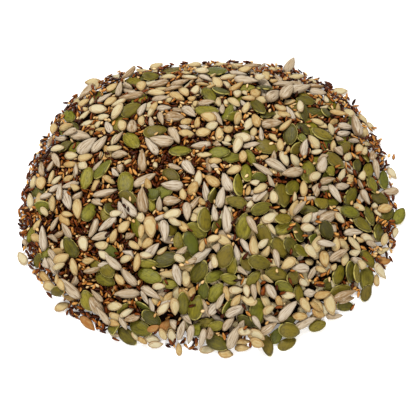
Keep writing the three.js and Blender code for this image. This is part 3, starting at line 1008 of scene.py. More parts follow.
@dataclass
class Heap:
    """The poured seeds."""

    shape: HeapShape
    view: PhotoView
    bed: Bed
    chance: np.random.Generator
    seeds: list[LaidSeed] = field(default_factory=list)
    rim_room: float = 0.6  # how far a seed's end may reach past the outline
    out_of_sight: float = 1.5  # how deep a seed lies under others when it can be left out
    sight_reach: float = 2.0  # how far sideways they have to cover it
    whole_from: float = 0.62  # of a kind's length; a seed that looks shorter is a broken one
    evenness: float = 3.0  # the more, the less the room at a place counts beside the kind's liking

    def __post_init__(self) -> None:
        """Works out how much likelier each kind is over each square of the bed."""
        grid_x, grid_y = np.meshgrid(self.bed.x, self.bed.y)
        self.liking = {kind: np.ones(grid_x.shape) for kind in Kind}
        for patch in PATCHES:
            x, y = self.view.on_heap(patch.x_px, patch.y_px, self.shape)
            reach = patch.reach_px * self.view.pixel * self.view.distance
            near = np.exp(-((grid_x - x) ** 2 + (grid_y - y) ** 2) / reach**2)
            for kind, more in patch.more.items():
                self.liking[kind] *= more**near

    def pour(self, stage: Pour) -> None:
        """Pours one stage.

        Args:
            stage: which seeds, and how high they may lie.
        """
        order = [kind for kind, count in stage.counts.items() for _ in range(count)]
        self.chance.shuffle(order)
        for kind in order:
            self._drop(kind, stage)

    def lay_seen(self) -> None:
        """Lays the seeds that stand out in the photograph, the grains last."""
        seen = [(kind, one) for kind, ones in SEEN.items() for one in ones]
        turns = [LAID_AFTER[kind] + self.chance.random() for kind, _ in seen]
        for index in np.argsort(turns):
            self._lay_one(*seen[index])

    def leave_out_buried(self) -> None:
        """Leaves out the seeds that lie wholly out of sight under others."""
        lowest = self.bed.bury_depth(self.sight_reach)
        self.seeds = [seed for seed in self.seeds if not self._is_buried(seed, lowest)]

    def _is_buried(self, seed: LaidSeed, lowest: np.ndarray) -> bool:
        """Whether a seed lies wholly out of sight.

        Args:
            seed: the seed.
            lowest: the lowest height of the bed near each of its squares.

        Returns:
            True if its ends, its sides and its faces all lie deep under others.
        """
        arms = (seed.turn * seed.size / 2).T
        for arm in (*arms, *-arms):
            x, y, z = seed.middle + arm
            if z > lowest[self.bed.cell(x, y)] - self.out_of_sight:
                return False
        return True

    def _lay_one(self, kind: Kind, one: Seen) -> None:
        """Lays one seed where the photograph shows it.

        Args:
            kind: its kind.
            one: where it is, and how it looks.
        """
        x, y = self.view.on_heap(one.x_px, one.y_px, self.shape)
        form = FORMS[kind]
        size = form.sizes(self.chance)
        shown = one.length_px * self.view.pixel * self.view.distance
        is_broken = form.broken > 0 and 0 < shown < self.whole_from * form.length
        if is_broken:
            size[0] = shown
        elif shown > 0:
            size *= shown / size[0]
        laid = self.bed.lay(
            x, y, math.radians(one.turn), math.radians(one.roll), size, SEEN_REST, self.chance,
            stays_clear=True,
        )
        self._keep(kind, laid, size, is_broken, one.shade)

    def _drop(self, kind: Kind, stage: Pour) -> None:
        """Drops one seed where there is most room for it, out of some places drawn.

        Args:
            kind: its kind.
            stage: the stage it belongs to.
        """
        size = FORMS[kind].sizes(self.chance)
        is_chip = self.chance.random() < FORMS[kind].chips
        if is_chip:
            size *= FORMS[kind].chip_share(self.chance)
        spots = [self._spot(size, stage.from_share) for _ in range(stage.spots)]
        x, y, heading = max(spots, key=lambda spot: self._draw_to(kind, *spot[:2]))
        is_large = kind in LARGE_KINDS
        rest = LARGE_REST if is_large else GRAIN_REST
        roll = 0.0
        if self.chance.random() < rest.on_edge:
            roll = self.chance.choice((-1, 1)) * self.chance.uniform(*rest.edge_roll)
        laid = self.bed.lay(
            x, y, heading, roll, size, rest, self.chance, stage.cover_share, stage.highest,
            stage.stays_clear and is_large,
        )
        self._keep(kind, laid, size, is_chip)

    def _draw_to(self, kind: Kind, x: float, y: float) -> float:
        """How much a kind is drawn to a place, by the room there and by how common the kind is."""
        return (self.bed.room(x, y) + self.evenness) * self.liking[kind][self.bed.cell(x, y)]

    def _spot(self, size: np.ndarray, from_share: float) -> tuple[float, float, float]:
        """Draws a place and a heading at which a seed stays within the outline.

        Args:
            size: its length, width and thickness.
            from_share: of the way to the outline, where places start.

        Returns:
            x, y and the heading in radians.
        """
        while True:
            angle, heading = self.chance.uniform(-math.pi, math.pi, 2)
            out = math.sqrt(self.chance.uniform(from_share**2, 1.0))
            x, y = math.cos(angle), math.sin(angle)
            radius = out * float(self.shape.radius(x, y))
            x, y = radius * x, radius * y
            reach = size[0] / 2 * np.array([math.cos(heading), math.sin(heading)])
            ends = np.array([[x, y] + reach, [x, y] - reach])
            past = np.hypot(*ends.T) - self.shape.radius(*ends.T)
            if past.max() < self.rim_room:
                return x, y, heading

    def _keep(
        self, kind: Kind, laid: tuple[np.ndarray, np.ndarray] | None, size: np.ndarray,
        is_broken: bool, shade: float | None = None,
    ) -> None:
        """Adds a seed that has come to rest, and draws its variant and its looks.

        Args:
            kind: its kind.
            laid: its middle and its own axes, or None if it found no rest.
            size: its length, width and thickness.
            is_broken: whether it has lost a part.
            shade: how pale it is, or None for any shade.
        """
        if laid is not None:
            variant = FORMS[kind].pick_variant(self.chance, is_broken)
            own = self.chance.random(3)
            own[0] = own[0] if shade is None else shade
            self.seeds.append(LaidSeed(kind, variant, *laid, size, own))


# --- the pieces -----------------------------------------------------------------------------------


@dataclass(frozen=True)
class SeedPiece:
    """All seeds of one kind, as one piece."""

    kind: Kind

    def build(self, seeds: list[LaidSeed], chance: np.random.Generator) -> bpy.types.Object:
        """Joins copies of the kind's variants, each in its place.

        Args:
            seeds: the laid seeds of this kind.
            chance: where the variants' own bends come from.

        Returns:
            The piece, still without a finish.
        """
        variants = FORMS[self.kind].make_variants(chance)
        side = math.ceil(math.sqrt(len(seeds)))
        points, faces, places, chances, corners, capped = [], [], [], [], [], []
        first = 0
        for number, seed in enumerate(seeds):
            one = variants[seed.variant]
            placed = (one.points * seed.size) @ seed.turn.T + seed.middle
            placed[:, 2] += max(0.0, -placed[:, 2].min())
            points.append(placed)
            faces += [[first + index for index in face] for face in one.faces]
            places.append(one.places)
            chances.append(np.tile(seed.chance, (len(one.points), 1)))
            corners.append((one.corners + (number % side, number // side)) / side)
            capped.append(one.capped)
            first += len(one.points)
        name = f"{self.kind.value}s" if self.kind in LARGE_KINDS else self.kind.value
        mesh = bpy.data.meshes.new(name)
        mesh.from_pydata(np.concatenate(points) * MM, [], faces)
        self._carry(mesh, PLACE, np.concatenate(places))
        self._carry(mesh, CHANCE, np.concatenate(chances))
        flat = mesh.uv_layers.new(name=FLAT_MAP)
        flat.uv.foreach_set("vector", np.concatenate(corners).ravel())
        mesh.polygons.foreach_set("use_smooth", ~np.concatenate(capped))
        piece = bpy.data.objects.new(name, mesh)
        bpy.context.scene.collection.objects.link(piece)
        return piece

    @staticmethod
    def _carry(mesh: bpy.types.Mesh, name: str, values: np.ndarray) -> None:
        """Gives each point of a mesh three numbers, under a name."""
        carried = mesh.attributes.new(name, "FLOAT_VECTOR", "POINT")
        carried.data.foreach_set("vector", values.ravel())


@dataclass(frozen=True)
class Core:
    """The inside of the heap, with the buried grains as relief on it."""

    cover: float = 6.4  # of loose seeds over it
    grain_room: float = 1.4  # how far the grains may rise over it
    foot: float = 0.9  # the share of the way to the outline where it meets the floor
    lowest: float = 0.2  # its height there
    meshes: int = 170  # of the net across it
    grains: int = 3600  # of relief

    def raise_bed(self, shape: HeapShape, bed: Bed, chance: np.random.Generator) -> None:
        """Fills the bed up to the core's surface, with grains half sunk in it.

        Args:
            shape: the heap's shape.
            bed: the bed, which is changed.
            chance: where the grains' places come from.
        """
        bed.height[:] = np.maximum(0.0, bed.aim - self.cover)
        form = FORMS[Kind.LINSEED]
        for _ in range(self.grains):
            angle, heading = chance.uniform(-math.pi, math.pi, 2)
            way = np.array([math.cos(angle), math.sin(angle)])
            out = math.sqrt(chance.random()) * self.foot * float(shape.radius(*way))
            x, y = way * out
            bed.lay(
                x, y, heading, 0.0, form.sizes(chance), CORE_REST, chance,
                highest=self.grain_room - self.cover,
            )

    def build(self, shape: HeapShape, bed: Bed) -> bpy.types.Object:
        """Makes the core from the bed as it is now.

        Args:
            shape: the heap's shape.
            bed: the bed, filled up to the core's surface.

        Returns:
            The core, still without a finish.
        """
        core = bmesh.new()
        bmesh.ops.create_grid(core, x_segments=self.meshes, y_segments=self.meshes, size=1.0)
        for vert in core.verts:
            vert.co = self._on_core(vert.co.x, vert.co.y, shape, bed)
        rim = [edge for edge in core.edges if edge.is_boundary]
        skirt = bmesh.ops.extrude_edge_only(core, edges=rim)["geom"]
        for vert in (v for v in skirt if isinstance(v, bmesh.types.BMVert)):
            vert.co.z = 0.0
        bmesh.ops.holes_fill(core, edges=[edge for edge in core.edges if edge.is_boundary])
        bmesh.ops.recalc_face_normals(core, faces=core.faces)
        mesh = bpy.data.meshes.new("core")
        core.to_mesh(mesh)
        core.free()
        mesh.polygons.foreach_set("use_smooth", np.ones(len(mesh.polygons), bool))
        piece = bpy.data.objects.new("core", mesh)
        bpy.context.scene.collection.objects.link(piece)
        return piece

    def _on_core(self, across: float, along: float, shape: HeapShape, bed: Bed) -> Vector:
        """Finds the place on the core of a point of a square net.

        Args:
            across: the point's place in the net, from -1 to 1.
            along: the same the other way.
            shape: the heap's shape.
            bed: the bed, filled up to the core's surface.

        Returns:
            The place, in metres.
        """
        out = max(abs(across), abs(along))
        is_side = abs(across) >= abs(along)
        ratio = (along / across if is_side else across / along) if out > 0 else 0.0
        step, sign = ratio * math.pi / 4, math.copysign(1.0, across if is_side else along)
        major, minor = sign * out * math.cos(step), sign * out * math.sin(step)
        x, y = (major, minor) if is_side else (minor, major)
        reach = self.foot * float(shape.radius(x, y)) if out > 0 else 0.0
        x, y = x * reach, y * reach
        row, column = bed.cell(x, y)
        return Vector((x, y, max(self.lowest, float(bed.height[row, column])))) * MM


# --- the finishes ---------------------------------------------------------------------------------


class Pattern(NamedTuple):
    """A cloudy pattern on a seed."""

    stretch: tuple[float, float, float]  # how fine it is along the seed, across it and through it
    detail: float  # how many finer layers it has


class Fade(NamedTuple):
    """How much of something shows, by a number that rises or falls from low to high."""

    low: float
    high: float
    least: float = 0.0  # at low
    most: float = 1.0  # at high


class Paint:
    """The nodes of one material, added a step at a time."""

    APART = (97.0, 89.0, 83.0)  # how far apart the seeds may lie in a pattern
    MIX_INPUTS = (0, 6, 7)  # of the share and the two colours, among a mix node's sockets
    MIX_OUTPUT = 2

    def __init__(self, name: str) -> None:
        """Starts a material with its shader alone.

        Args:
            name: the material's name.
        """
        self.material = bpy.data.materials.new(name)
        self.material.use_nodes = True
        self.tree = self.material.node_tree
        self.shader = self.tree.nodes["Principled BSDF"]

    def node(self, kind: str, **values: object) -> bpy.types.Node:
        """Adds a node.

        Args:
            kind: the node's type.
            values: its properties and its inputs, by name.

        Returns:
            The node.
        """
        node = self.tree.nodes.new(kind)
        for name, value in values.items():
            if hasattr(node, name):
                setattr(node, name, value)
            else:
                self.feed(node.inputs[name.replace("_", " ")], value)
        return node

    def feed(self, socket: bpy.types.NodeSocket, value: object) -> None:
        """Links a socket to another, or sets its value.

        Args:
            socket: the socket that is fed.
            value: another socket, a number or a colour.
        """
        if isinstance(value, bpy.types.NodeSocket):
            self.tree.links.new(value, socket)
        else:
            socket.default_value = value

    def carried(self, name: str) -> bpy.types.NodeSocket:
        """The three numbers that a mesh carries under a name."""
        return self.node("ShaderNodeAttribute", attribute_name=name).outputs["Vector"]

    def parts(self, vector: bpy.types.NodeSocket) -> list[bpy.types.NodeSocket]:
        """The three numbers of a vector, apart."""
        return list(self.node("ShaderNodeSeparateXYZ", Vector=vector).outputs)

    def maths(self, operation: str, *values: object) -> bpy.types.NodeSocket:
        """Works out one number from others.

        Args:
            operation: the sum's name.
            values: sockets or numbers, in the order in which the sum takes them.

        Returns:
            The result.
        """
        node = self.node("ShaderNodeMath", operation=operation)
        for socket, value in zip(node.inputs, values, strict=False):
            self.feed(socket, value)
        return node.outputs[0]

    def both(self, one: bpy.types.NodeSocket, other: bpy.types.NodeSocket) -> bpy.types.NodeSocket:
        """The product of two shares, for what shows only where both do."""
        return self.maths("MULTIPLY", one, other)

    def pattern(self, pattern: Pattern) -> bpy.types.NodeSocket:
        """Lays a cloudy pattern on every seed, each seed elsewhere in it.

        Args:
            pattern: how fine it is.

        Returns:
            A number about 0.5.
        """
        scaled = self.node("ShaderNodeVectorMath", operation="MULTIPLY")
        self.feed(scaled.inputs[0], self.carried(PLACE))
        self.feed(scaled.inputs[1], pattern.stretch)
        moved = self.node("ShaderNodeVectorMath", operation="MULTIPLY_ADD")
        self.feed(moved.inputs[0], self.carried(CHANCE))
        self.feed(moved.inputs[1], self.APART)
        self.feed(moved.inputs[2], scaled.outputs[0])
        clouds = self.node(
            "ShaderNodeTexNoise", Vector=moved.outputs[0], Scale=1.0, Detail=pattern.detail
        )
        return clouds.outputs[0]

    def about(
        self, value: bpy.types.NodeSocket, drift: bpy.types.NodeSocket, much: float
    ) -> bpy.types.NodeSocket:
        """Moves a number up and down, so many times as much as another strays from 0.5."""
        return self.maths("MULTIPLY_ADD", drift, much, self.maths("SUBTRACT", value, 0.5 * much))

    def fade(self, value: bpy.types.NodeSocket, fade: Fade) -> bpy.types.NodeSocket:
        """Works out how much shows at a number, smoothly from least to most and no further.

        Args:
            value: the number.
            fade: where it starts and ends.

        Returns:
            How much shows.
        """
        node = self.node("ShaderNodeMapRange", interpolation_type="SMOOTHSTEP")
        for socket, one in zip(node.inputs, (value, *fade), strict=False):
            self.feed(socket, one)
        return node.outputs[0]

    def ramp(
        self, value: bpy.types.NodeSocket, stops: tuple[tuple[float, Colour], ...]
    ) -> bpy.types.NodeSocket:
        """Turns a number into a colour.

        Args:
            value: the number, from 0 to 1.
            stops: numbers in rising order, and the colour at each.

        Returns:
            The colour.
        """
        node = self.node("ShaderNodeValToRGB", Fac=value)
        elements = node.color_ramp.elements
        while len(elements) < len(stops):
            elements.new(0.5)
        for element, (at, colour) in zip(elements, stops, strict=True):
            element.position, element.color = at, colour
        return node.outputs["Color"]

    def mix(self, share: object, under: object, over: object) -> bpy.types.NodeSocket:
        """Lays one colour over another.

        Args:
            share: how much of the upper one shows.
            under: the lower colour.
            over: the upper colour.

        Returns:
            The mixed colour.
        """
        node = self.node("ShaderNodeMix", data_type="RGBA")
        for index, value in zip(self.MIX_INPUTS, (share, under, over), strict=True):
            self.feed(node.inputs[index], value)
        return node.outputs[self.MIX_OUTPUT]

    def bump(self, height: bpy.types.NodeSocket, depth: float, strength: float) -> None:
        """Gives the shader fine relief, to a depth in millimetres."""
        node = self.node("ShaderNodeBump", Strength=strength, Distance=depth * MM, Height=height)
        self.feed(self.shader.inputs["Normal"], node.outputs[0])

    def coat(self, colour: object, roughness: object, specular: float) -> None:
        """Gives the shader its colour and its shine.

        Args:
            colour: a colour, or a socket that gives one.
            roughness: from 0 for a mirror to 1, or a socket that gives it.
            specular: how strongly it mirrors what is in front of it.
        """
        self.feed(self.shader.inputs["Base Color"], colour)
        self.feed(self.shader.inputs["Roughness"], roughness)
        self.shader.inputs["Specular IOR Level"].default_value = specular


@dataclass(frozen=True)
class PumpkinSkin:
    """Olive skin, greener or browner seed to seed, with fine lines, darker blotches and painted rim
    shade.
    """

    shades: tuple[tuple[float, Colour], ...] = (
        (0.0, linear(54, 49, 5)),
        (0.3, linear(80, 73, 9)),
        (0.6, linear(99, 91, 14)),
        (0.85, linear(114, 105, 22)),
        (1.0, linear(130, 120, 38)),
    )
    greener: Colour = linear(88, 96, 20)
    browner: Colour = linear(106, 88, 22)
    blotch: Colour = linear(58, 52, 12)
    # pale membrane at the rim, brightened there as a painted highlight; the pale tip is the seed's own
    # colour
    pale: Colour = linear(168, 156, 84)
    # painted shade: the dark colour laid along the rim, where shade falls between the seeds
    rim: Colour = linear(50, 44, 12)
    lines: Pattern = Pattern((1.8, 14.0, 4.0), detail=5.0)
    clouds: Pattern = Pattern((1.6, 1.8, 1.0), detail=2.0)
    blotches: Pattern = Pattern((4.2, 4.2, 2.0), detail=4.0)
    clouded: float = 0.8  # how far the clouds move the shade
    lined: float = 1.3  # how far the lines do
    pitted: float = 0.8  # how far the blotches move the relief
    green_seeds: Fade = Fade(0.6, 1.0, most=0.5)
    brown_seeds: Fade = Fade(0.3, 0.0, most=0.6)
    blotched: Fade = Fade(0.5, 0.72, most=0.65)
    # painted shade along the rim, stronger on some seeds than on others
    painted_rim_shade: Fade = Fade(0.85, 0.3)  # by the height over the rim, 0 on it and 1 on the flat face
    seeds_with_rim_shade: Fade = Fade(0.1, 0.8, 0.25, 0.8)
    # the pale rim: the seed's own pale membrane, partly a painted highlight
    pale_rim_and_highlight: Fade = Fade(0.45, 0.2)
    pale_spots: Fade = Fade(0.38, 0.56)
    pale_tip: Fade = Fade(0.82, 1.0, most=0.7)
    roughness: Fade = Fade(0.2, 0.8, 0.36, 0.52)
    specular: float = 0.2
    depth: float = 0.24  # of the relief, in millimetres
    strength: float = 0.8

    def material(self) -> bpy.types.Material:
        """Makes the material.

        Returns:
            The material, for a mesh that carries PLACE and CHANCE.
        """
        paint = Paint("pumpkin_skin")
        own, other, third = paint.parts(paint.carried(CHANCE))
        along, _, through = paint.parts(paint.carried(PLACE))
        lines = paint.pattern(self.lines)
        clouds = paint.pattern(self.clouds)
        blotches = paint.pattern(self.blotches)
        shade = paint.about(own, clouds, self.clouded)
        colour = paint.ramp(paint.about(shade, lines, self.lined), self.shades)
        colour = paint.mix(paint.fade(third, self.green_seeds), colour, self.greener)
        colour = paint.mix(paint.fade(third, self.brown_seeds), colour, self.browner)
        colour = paint.mix(paint.fade(blotches, self.blotched), colour, self.blotch)
        # painted shade: darkens the rim
        height = paint.maths("ABSOLUTE", through)
        dark = paint.both(
            paint.fade(height, self.painted_rim_shade), paint.fade(other, self.seeds_with_rim_shade)
        )
        colour = paint.mix(dark, colour, self.rim)
        # pale membrane along the rim, partly a painted highlight
        pale = paint.both(paint.fade(height, self.pale_rim_and_highlight), paint.fade(clouds, self.pale_spots))
        colour = paint.mix(pale, colour, self.pale)
        colour = paint.mix(paint.fade(along, self.pale_tip), colour, self.pale)
        paint.coat(colour, paint.fade(clouds, self.roughness), self.specular)
        paint.bump(paint.about(lines, blotches, self.pitted), self.depth, self.strength)
        return paint.material


@dataclass(frozen=True)
class SunflowerSkin:
    """Matte grey-beige kernel with darker lines along it, deepened by painted shade, and painted ridge
    highlights.
    """

    shades: tuple[tuple[float, Colour], ...] = (
        (0.0, linear(140, 114, 81)),
        (0.15, linear(160, 140, 112)),
        (0.7, linear(169, 153, 129)),
        (1.0, linear(177, 164, 145)),
    )
    # painted highlight: the lighter colour on the ridges between the lines
    ridge_highlight_colour: Colour = linear(188, 177, 160)
    # the kernel's own darker lines, deepened as painted shade in the grooves
    line_and_groove_shade: Colour = linear(98, 72, 44)
    # the kernel's own brownish edge, deepened as painted shade along the rim
    edge: Colour = linear(112, 82, 44)
    lines: Pattern = Pattern((0.9, 5.5, 2.5), detail=4.0)
    clouds: Pattern = Pattern((2.4, 2.4, 1.0), detail=4.0)
    clouded: float = 1.2  # how far the clouds move the shade
    painted_ridge_highlight: Fade = Fade(0.44, 0.32, most=0.8)
    lined: Fade = Fade(0.5, 0.7, most=0.85)
    painted_rim_shade: Fade = Fade(0.72, 0.1)  # by the height over the rim, 0 on it and 1 on the flat face
    seeds_with_rim_shade: Fade = Fade(0.0, 1.0, 0.3, 0.8)
    roughness: float = 0.68
    specular: float = 0.1
    depth: float = 0.3  # of the relief, in millimetres
    strength: float = 0.8

    def material(self) -> bpy.types.Material:
        """Makes the material.

        Returns:
            The material, for a mesh that carries PLACE and CHANCE.
        """
        paint = Paint("sunflower_skin")
        own, other, _ = paint.parts(paint.carried(CHANCE))
        _, _, through = paint.parts(paint.carried(PLACE))
        lines = paint.pattern(self.lines)
        clouds = paint.pattern(self.clouds)
        colour = paint.ramp(paint.about(own, clouds, self.clouded), self.shades)
        # painted highlight on the ridges, then darker lines that are partly painted groove shade
        colour = paint.mix(paint.fade(lines, self.painted_ridge_highlight), colour, self.ridge_highlight_colour)
        colour = paint.mix(paint.fade(lines, self.lined), colour, self.line_and_groove_shade)
        # darker rim: partly the kernel's own brown edge, partly painted shade
        dark = paint.both(
            paint.fade(paint.maths("ABSOLUTE", through), self.painted_rim_shade),
            paint.fade(other, self.seeds_with_rim_shade),
        )
        colour = paint.mix(dark, colour, self.edge)
        paint.coat(colour, self.roughness, self.specular)
        paint.bump(lines, self.depth, self.strength)
        return paint.material


@dataclass(frozen=True)
class MelonSkin:
    """Smooth cream kernel with a tan rim and tip, and painted shade at the rim and groove; a few are
    toasted.
    """

    shades: tuple[tuple[float, Colour], ...] = (
        (0.0, linear(160, 129, 78)),
        (0.15, linear(171, 147, 99)),
        (0.6, linear(178, 162, 121)),
        (1.0, linear(182, 171, 140)),
    )
    # the seed's own tan rim and tip colour, also laid as painted shade along the rim and in the groove
    edge: Colour = linear(128, 84, 32)
    toasted: Colour = linear(138, 88, 40)
    clouds: Pattern = Pattern((2.2, 2.8, 1.0), detail=4.0)
    clouded: float = 1.1  # how far the clouds move the shade
    ragged: float = 0.5  # how far they move the edge of the rim
    painted_rim_shade: Fade = Fade(0.75, 0.15)  # by the height over the rim, 0 on it and 1 on the flat face
    seeds_with_rim_shade: Fade = Fade(0.0, 1.0, 0.25, 0.85)
    # the groove is not in the mesh; painted shade marks it
    groove: float = 0.66  # the height at which a fine groove follows the rim
    painted_groove_shade: Fade = Fade(0.13, 0.02, most=0.5)  # by the distance from it
    dark_tip: Fade = Fade(0.78, 1.0, most=0.7)
    toasted_seeds: Fade = Fade(-0.02, -0.4)
    toasted_spots: Fade = Fade(0.35, 0.6, 0.4, 1.0)
    roughness: Fade = Fade(0.2, 0.8, 0.45, 0.6)
    specular: float = 0.15
    depth: float = 0.3  # of the relief, in millimetres
    strength: float = 0.9

    def material(self) -> bpy.types.Material:
        """Makes the material.

        Returns:
            The material, for a mesh that carries PLACE and CHANCE.
        """
        paint = Paint("melon_skin")
        own, other, _ = paint.parts(paint.carried(CHANCE))
        along, _, through = paint.parts(paint.carried(PLACE))
        clouds = paint.pattern(self.clouds)
        colour = paint.ramp(paint.about(own, clouds, self.clouded), self.shades)
        height = paint.about(paint.maths("ABSOLUTE", through), clouds, self.ragged)
        # tan rim, deepened by painted shade
        dark = paint.both(
            paint.fade(height, self.painted_rim_shade), paint.fade(other, self.seeds_with_rim_shade)
        )
        colour = paint.mix(dark, colour, self.edge)
        # painted shade in the groove beside the rim
        beside = paint.maths("ABSOLUTE", paint.maths("SUBTRACT", height, self.groove))
        colour = paint.mix(paint.fade(beside, self.painted_groove_shade), colour, self.edge)
        colour = paint.mix(paint.fade(along, self.dark_tip), colour, self.edge)
        toast = paint.both(
            paint.fade(own, self.toasted_seeds), paint.fade(clouds, self.toasted_spots)
        )
        colour = paint.mix(toast, colour, self.toasted)
        paint.coat(colour, paint.fade(clouds, self.roughness), self.specular)
        paint.bump(clouds, self.depth, self.strength)
        return paint.material


@dataclass(frozen=True)
class GrainSkin:
    """The smooth skin of a small grain, with painted shade darkening its rim."""

    name: str
    shades: tuple[tuple[float, Colour], ...]
    # painted shade: the dark colour laid along the rim
    edge: Colour
    roughness: float
    specular: float
    clouds: Pattern = Pattern((1.4, 1.8, 1.0), detail=3.0)
    clouded: float = 0.9  # how far the clouds move the shade
    painted_rim_shade: Fade = Fade(0.75, 0.1, most=0.8)

    def material(self) -> bpy.types.Material:
        """Makes the material.

        Returns:
            The material, for a mesh that carries PLACE and CHANCE.
        """
        paint = Paint(self.name)
        own, _, _ = paint.parts(paint.carried(CHANCE))
        _, _, through = paint.parts(paint.carried(PLACE))
        clouds = paint.pattern(self.clouds)
        colour = paint.ramp(paint.about(own, clouds, self.clouded), self.shades)
        # painted shade on the rim
        dark = paint.fade(paint.maths("ABSOLUTE", through), self.painted_rim_shade)
        paint.coat(paint.mix(dark, colour, self.edge), self.roughness, self.specular)
        return paint.material


@dataclass(frozen=True)
class CoreShade:
    """Dark grains between the seeds, coloured near-black as painted shade for the deep gaps."""

    # painted shade: near-black browns where the gaps lie deepest
    shades: tuple[tuple[float, Colour], ...] = (
        (0.0, linear(6, 2, 1)),
        (0.6, linear(12, 5, 1)),
        (1.0, linear(30, 13, 4)),
    )
    grains: float = 320.0  # in a metre
    roughness: float = 0.8
    specular: float = 0.05

    def material(self) -> bpy.types.Material:
        """Makes the material.

        Returns:
            The material.
        """
        paint = Paint("core_painted_shade")
        place = paint.node("ShaderNodeTexCoord").outputs["Object"]
        cells = paint.node("ShaderNodeTexVoronoi", Vector=place, Scale=self.grains)
        own, _, _ = paint.parts(cells.outputs["Color"])
        paint.coat(paint.ramp(own, self.shades), self.roughness, self.specular)
        return paint.material


FINISHES = {
    Kind.PUMPKIN: PumpkinSkin(),
    Kind.SUNFLOWER: SunflowerSkin(),
    Kind.MELON: MelonSkin(),
    Kind.LINSEED: GrainSkin(
        name="linseed_skin",
        shades=(
            (0.0, linear(31, 9, 1)),
            (0.35, linear(70, 27, 4)),
            (0.65, linear(112, 54, 13)),
            (0.85, linear(152, 94, 36)),
            (1.0, linear(196, 142, 74)),
        ),
        # near-black painted shade on the linseed's rim
        edge=linear(10, 3, 1), roughness=0.34, specular=0.09,
    ),
    Kind.SESAME: GrainSkin(
        name="sesame_skin",
        shades=(
            (0.0, linear(168, 124, 68)),
            (0.5, linear(196, 160, 104)),
            (1.0, linear(212, 186, 138)),
        ),
        # painted shade on the sesame's rim
        edge=linear(150, 108, 56), roughness=0.5, specular=0.15,
    ),
}


# --- the studio -----------------------------------------------------------------------------------


@dataclass(frozen=True)
class Lamp:
    """A square soft light that looks at the heap."""

    name: str
    azimuth: float  # degrees: 0 is in front of the heap, 90 on its right
    elevation: float
    distance: float  # metres
    side: float
    power: float  # watts

    def light(self) -> None:
        """Adds the light to the scene."""
        data = bpy.data.lights.new(self.name, "AREA")
        data.energy, data.size = self.power, self.side
        lamp = bpy.data.objects.new(self.name, data)
        a, e = math.radians(self.azimuth), math.radians(self.elevation)
        way = Vector((math.sin(a) * math.cos(e), -math.cos(a) * math.cos(e), math.sin(e)))
        lamp.location = way * self.distance
        lamp.rotation_euler = way.to_track_quat("Z", "Y").to_euler()
        bpy.context.scene.collection.objects.link(lamp)


@dataclass(frozen=True)
class Studio:
    """A white floor, soft light from behind and in front, and a pale surround."""

    lamps: tuple[Lamp, ...] = (
        Lamp("key_light", azimuth=215, elevation=66, distance=1.3, side=0.3, power=16.4),
        Lamp("front_light", azimuth=12, elevation=42, distance=1.3, side=0.4, power=7.2),
    )
    surround: float = 0.59
    surround_colour: Colour = (1.0, 0.965, 0.91, 1.0)
    floor_side: float = 6.0  # metres
    floor_colour: Colour = (1.0, 1.0, 1.0, 1.0)
    floor_glow: float = 0.24  # the paper is lit from below as well, so its shadows stay faint
    floor_roughness: float = 0.9
    floor_specular: float = 0.1

    def build(self) -> None:
        """Adds the floor, the lights and the surround."""
        self._lay_floor()
        for lamp in self.lamps:
            lamp.light()
        world = bpy.data.worlds.new("surround")
        world.use_nodes = True
        background = world.node_tree.nodes["Background"]
        background.inputs["Color"].default_value = self.surround_colour
        background.inputs["Strength"].default_value = self.surround
        bpy.context.scene.world = world
        bpy.context.scene.view_settings.view_transform = "Standard"

    def _lay_floor(self) -> None:
        """Adds the floor."""
        floor = bmesh.new()
        bmesh.ops.create_grid(floor, x_segments=1, y_segments=1, size=self.floor_side / 2)
        mesh = bpy.data.meshes.new("floor")
        floor.to_mesh(mesh)
        floor.free()
        paint = Paint("floor_paper")
        paint.coat(self.floor_colour, self.floor_roughness, self.floor_specular)
        paint.feed(paint.shader.inputs["Emission Color"], self.floor_colour)
        paint.feed(paint.shader.inputs["Emission Strength"], self.floor_glow)
        mesh.materials.append(paint.material)
        piece = bpy.data.objects.new("floor", mesh)
        bpy.context.scene.collection.objects.link(piece)


# --- putting it together --------------------------------------------------------------------------


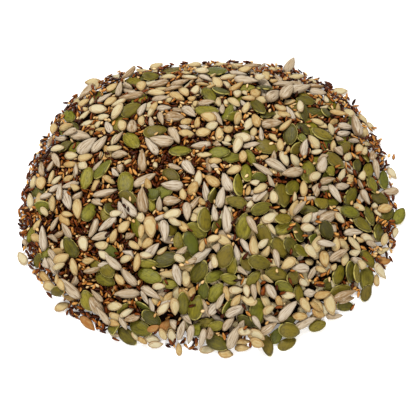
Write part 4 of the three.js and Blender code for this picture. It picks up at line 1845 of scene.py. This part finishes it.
# The first stage lies below the seeds that the photograph shows, and the others lie about them
POURS = (
    Pour(
        {Kind.PUMPKIN: 60, Kind.SUNFLOWER: 190, Kind.MELON: 260, Kind.LINSEED: 2900, Kind.SESAME: 600},
        highest=-2.0,
    ),
    Pour(
        {Kind.PUMPKIN: 14, Kind.SUNFLOWER: 80, Kind.MELON: 160, Kind.LINSEED: 640, Kind.SESAME: 90},
        highest=1.7, cover_share=0.18, spots=12, stays_clear=True, from_share=0.88,
    ),
    Pour(
        {Kind.PUMPKIN: 20, Kind.SUNFLOWER: 380, Kind.MELON: 640, Kind.LINSEED: 700, Kind.SESAME: 160},
        highest=0.6, cover_share=0.22, stays_clear=True,
    ),
    Pour({Kind.LINSEED: 3400, Kind.SESAME: 420}, highest=-1.0, cover_share=0.12, spots=12),
    Pour(
        {Kind.LINSEED: 1100, Kind.SESAME: 130},
        highest=0.9, cover_share=0.5, spots=20, from_share=0.91,
    ),
    Pour({Kind.LINSEED: 40, Kind.SESAME: 60}, highest=0.4, cover_share=1.0, spots=2),
)


def add_piece(piece: bpy.types.Object, material: bpy.types.Material) -> None:
    """Dresses a piece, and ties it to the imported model.

    Args:
        piece: the finished mesh.
        material: its finish.
    """
    piece.data.materials.append(material)
    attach(piece, BODY)
    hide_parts(NODE)
    log.info("%s: %d faces", piece.name, len(piece.data.polygons))


def main() -> None:
    """Builds the heap, its pieces and the studio around it."""
    logging.basicConfig(level=logging.INFO, format="%(message)s")
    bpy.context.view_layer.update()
    chance = np.random.default_rng(CHANCE_SEED)
    view = PhotoView()
    view.make_camera()
    shape = HeapShape(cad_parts[NODE])
    bed = Bed(shape)
    core = Core()
    core.raise_bed(shape, bed, chance)
    # the core's finish is painted shade for the deep gaps
    add_piece(core.build(shape, bed), CoreShade().material())
    heap = Heap(shape, view, bed, chance)
    below, *above = POURS
    heap.pour(below)
    heap.lay_seen()
    for stage in above:
        heap.pour(stage)
    heap.leave_out_buried()
    for kind in Kind:
        seeds = [seed for seed in heap.seeds if seed.kind is kind]
        log.info("%s: %d seeds", kind.value, len(seeds))
        add_piece(SeedPiece(kind).build(seeds, chance), FINISHES[kind].material())
    Studio().build()


if __name__ == "__main__":
    main()
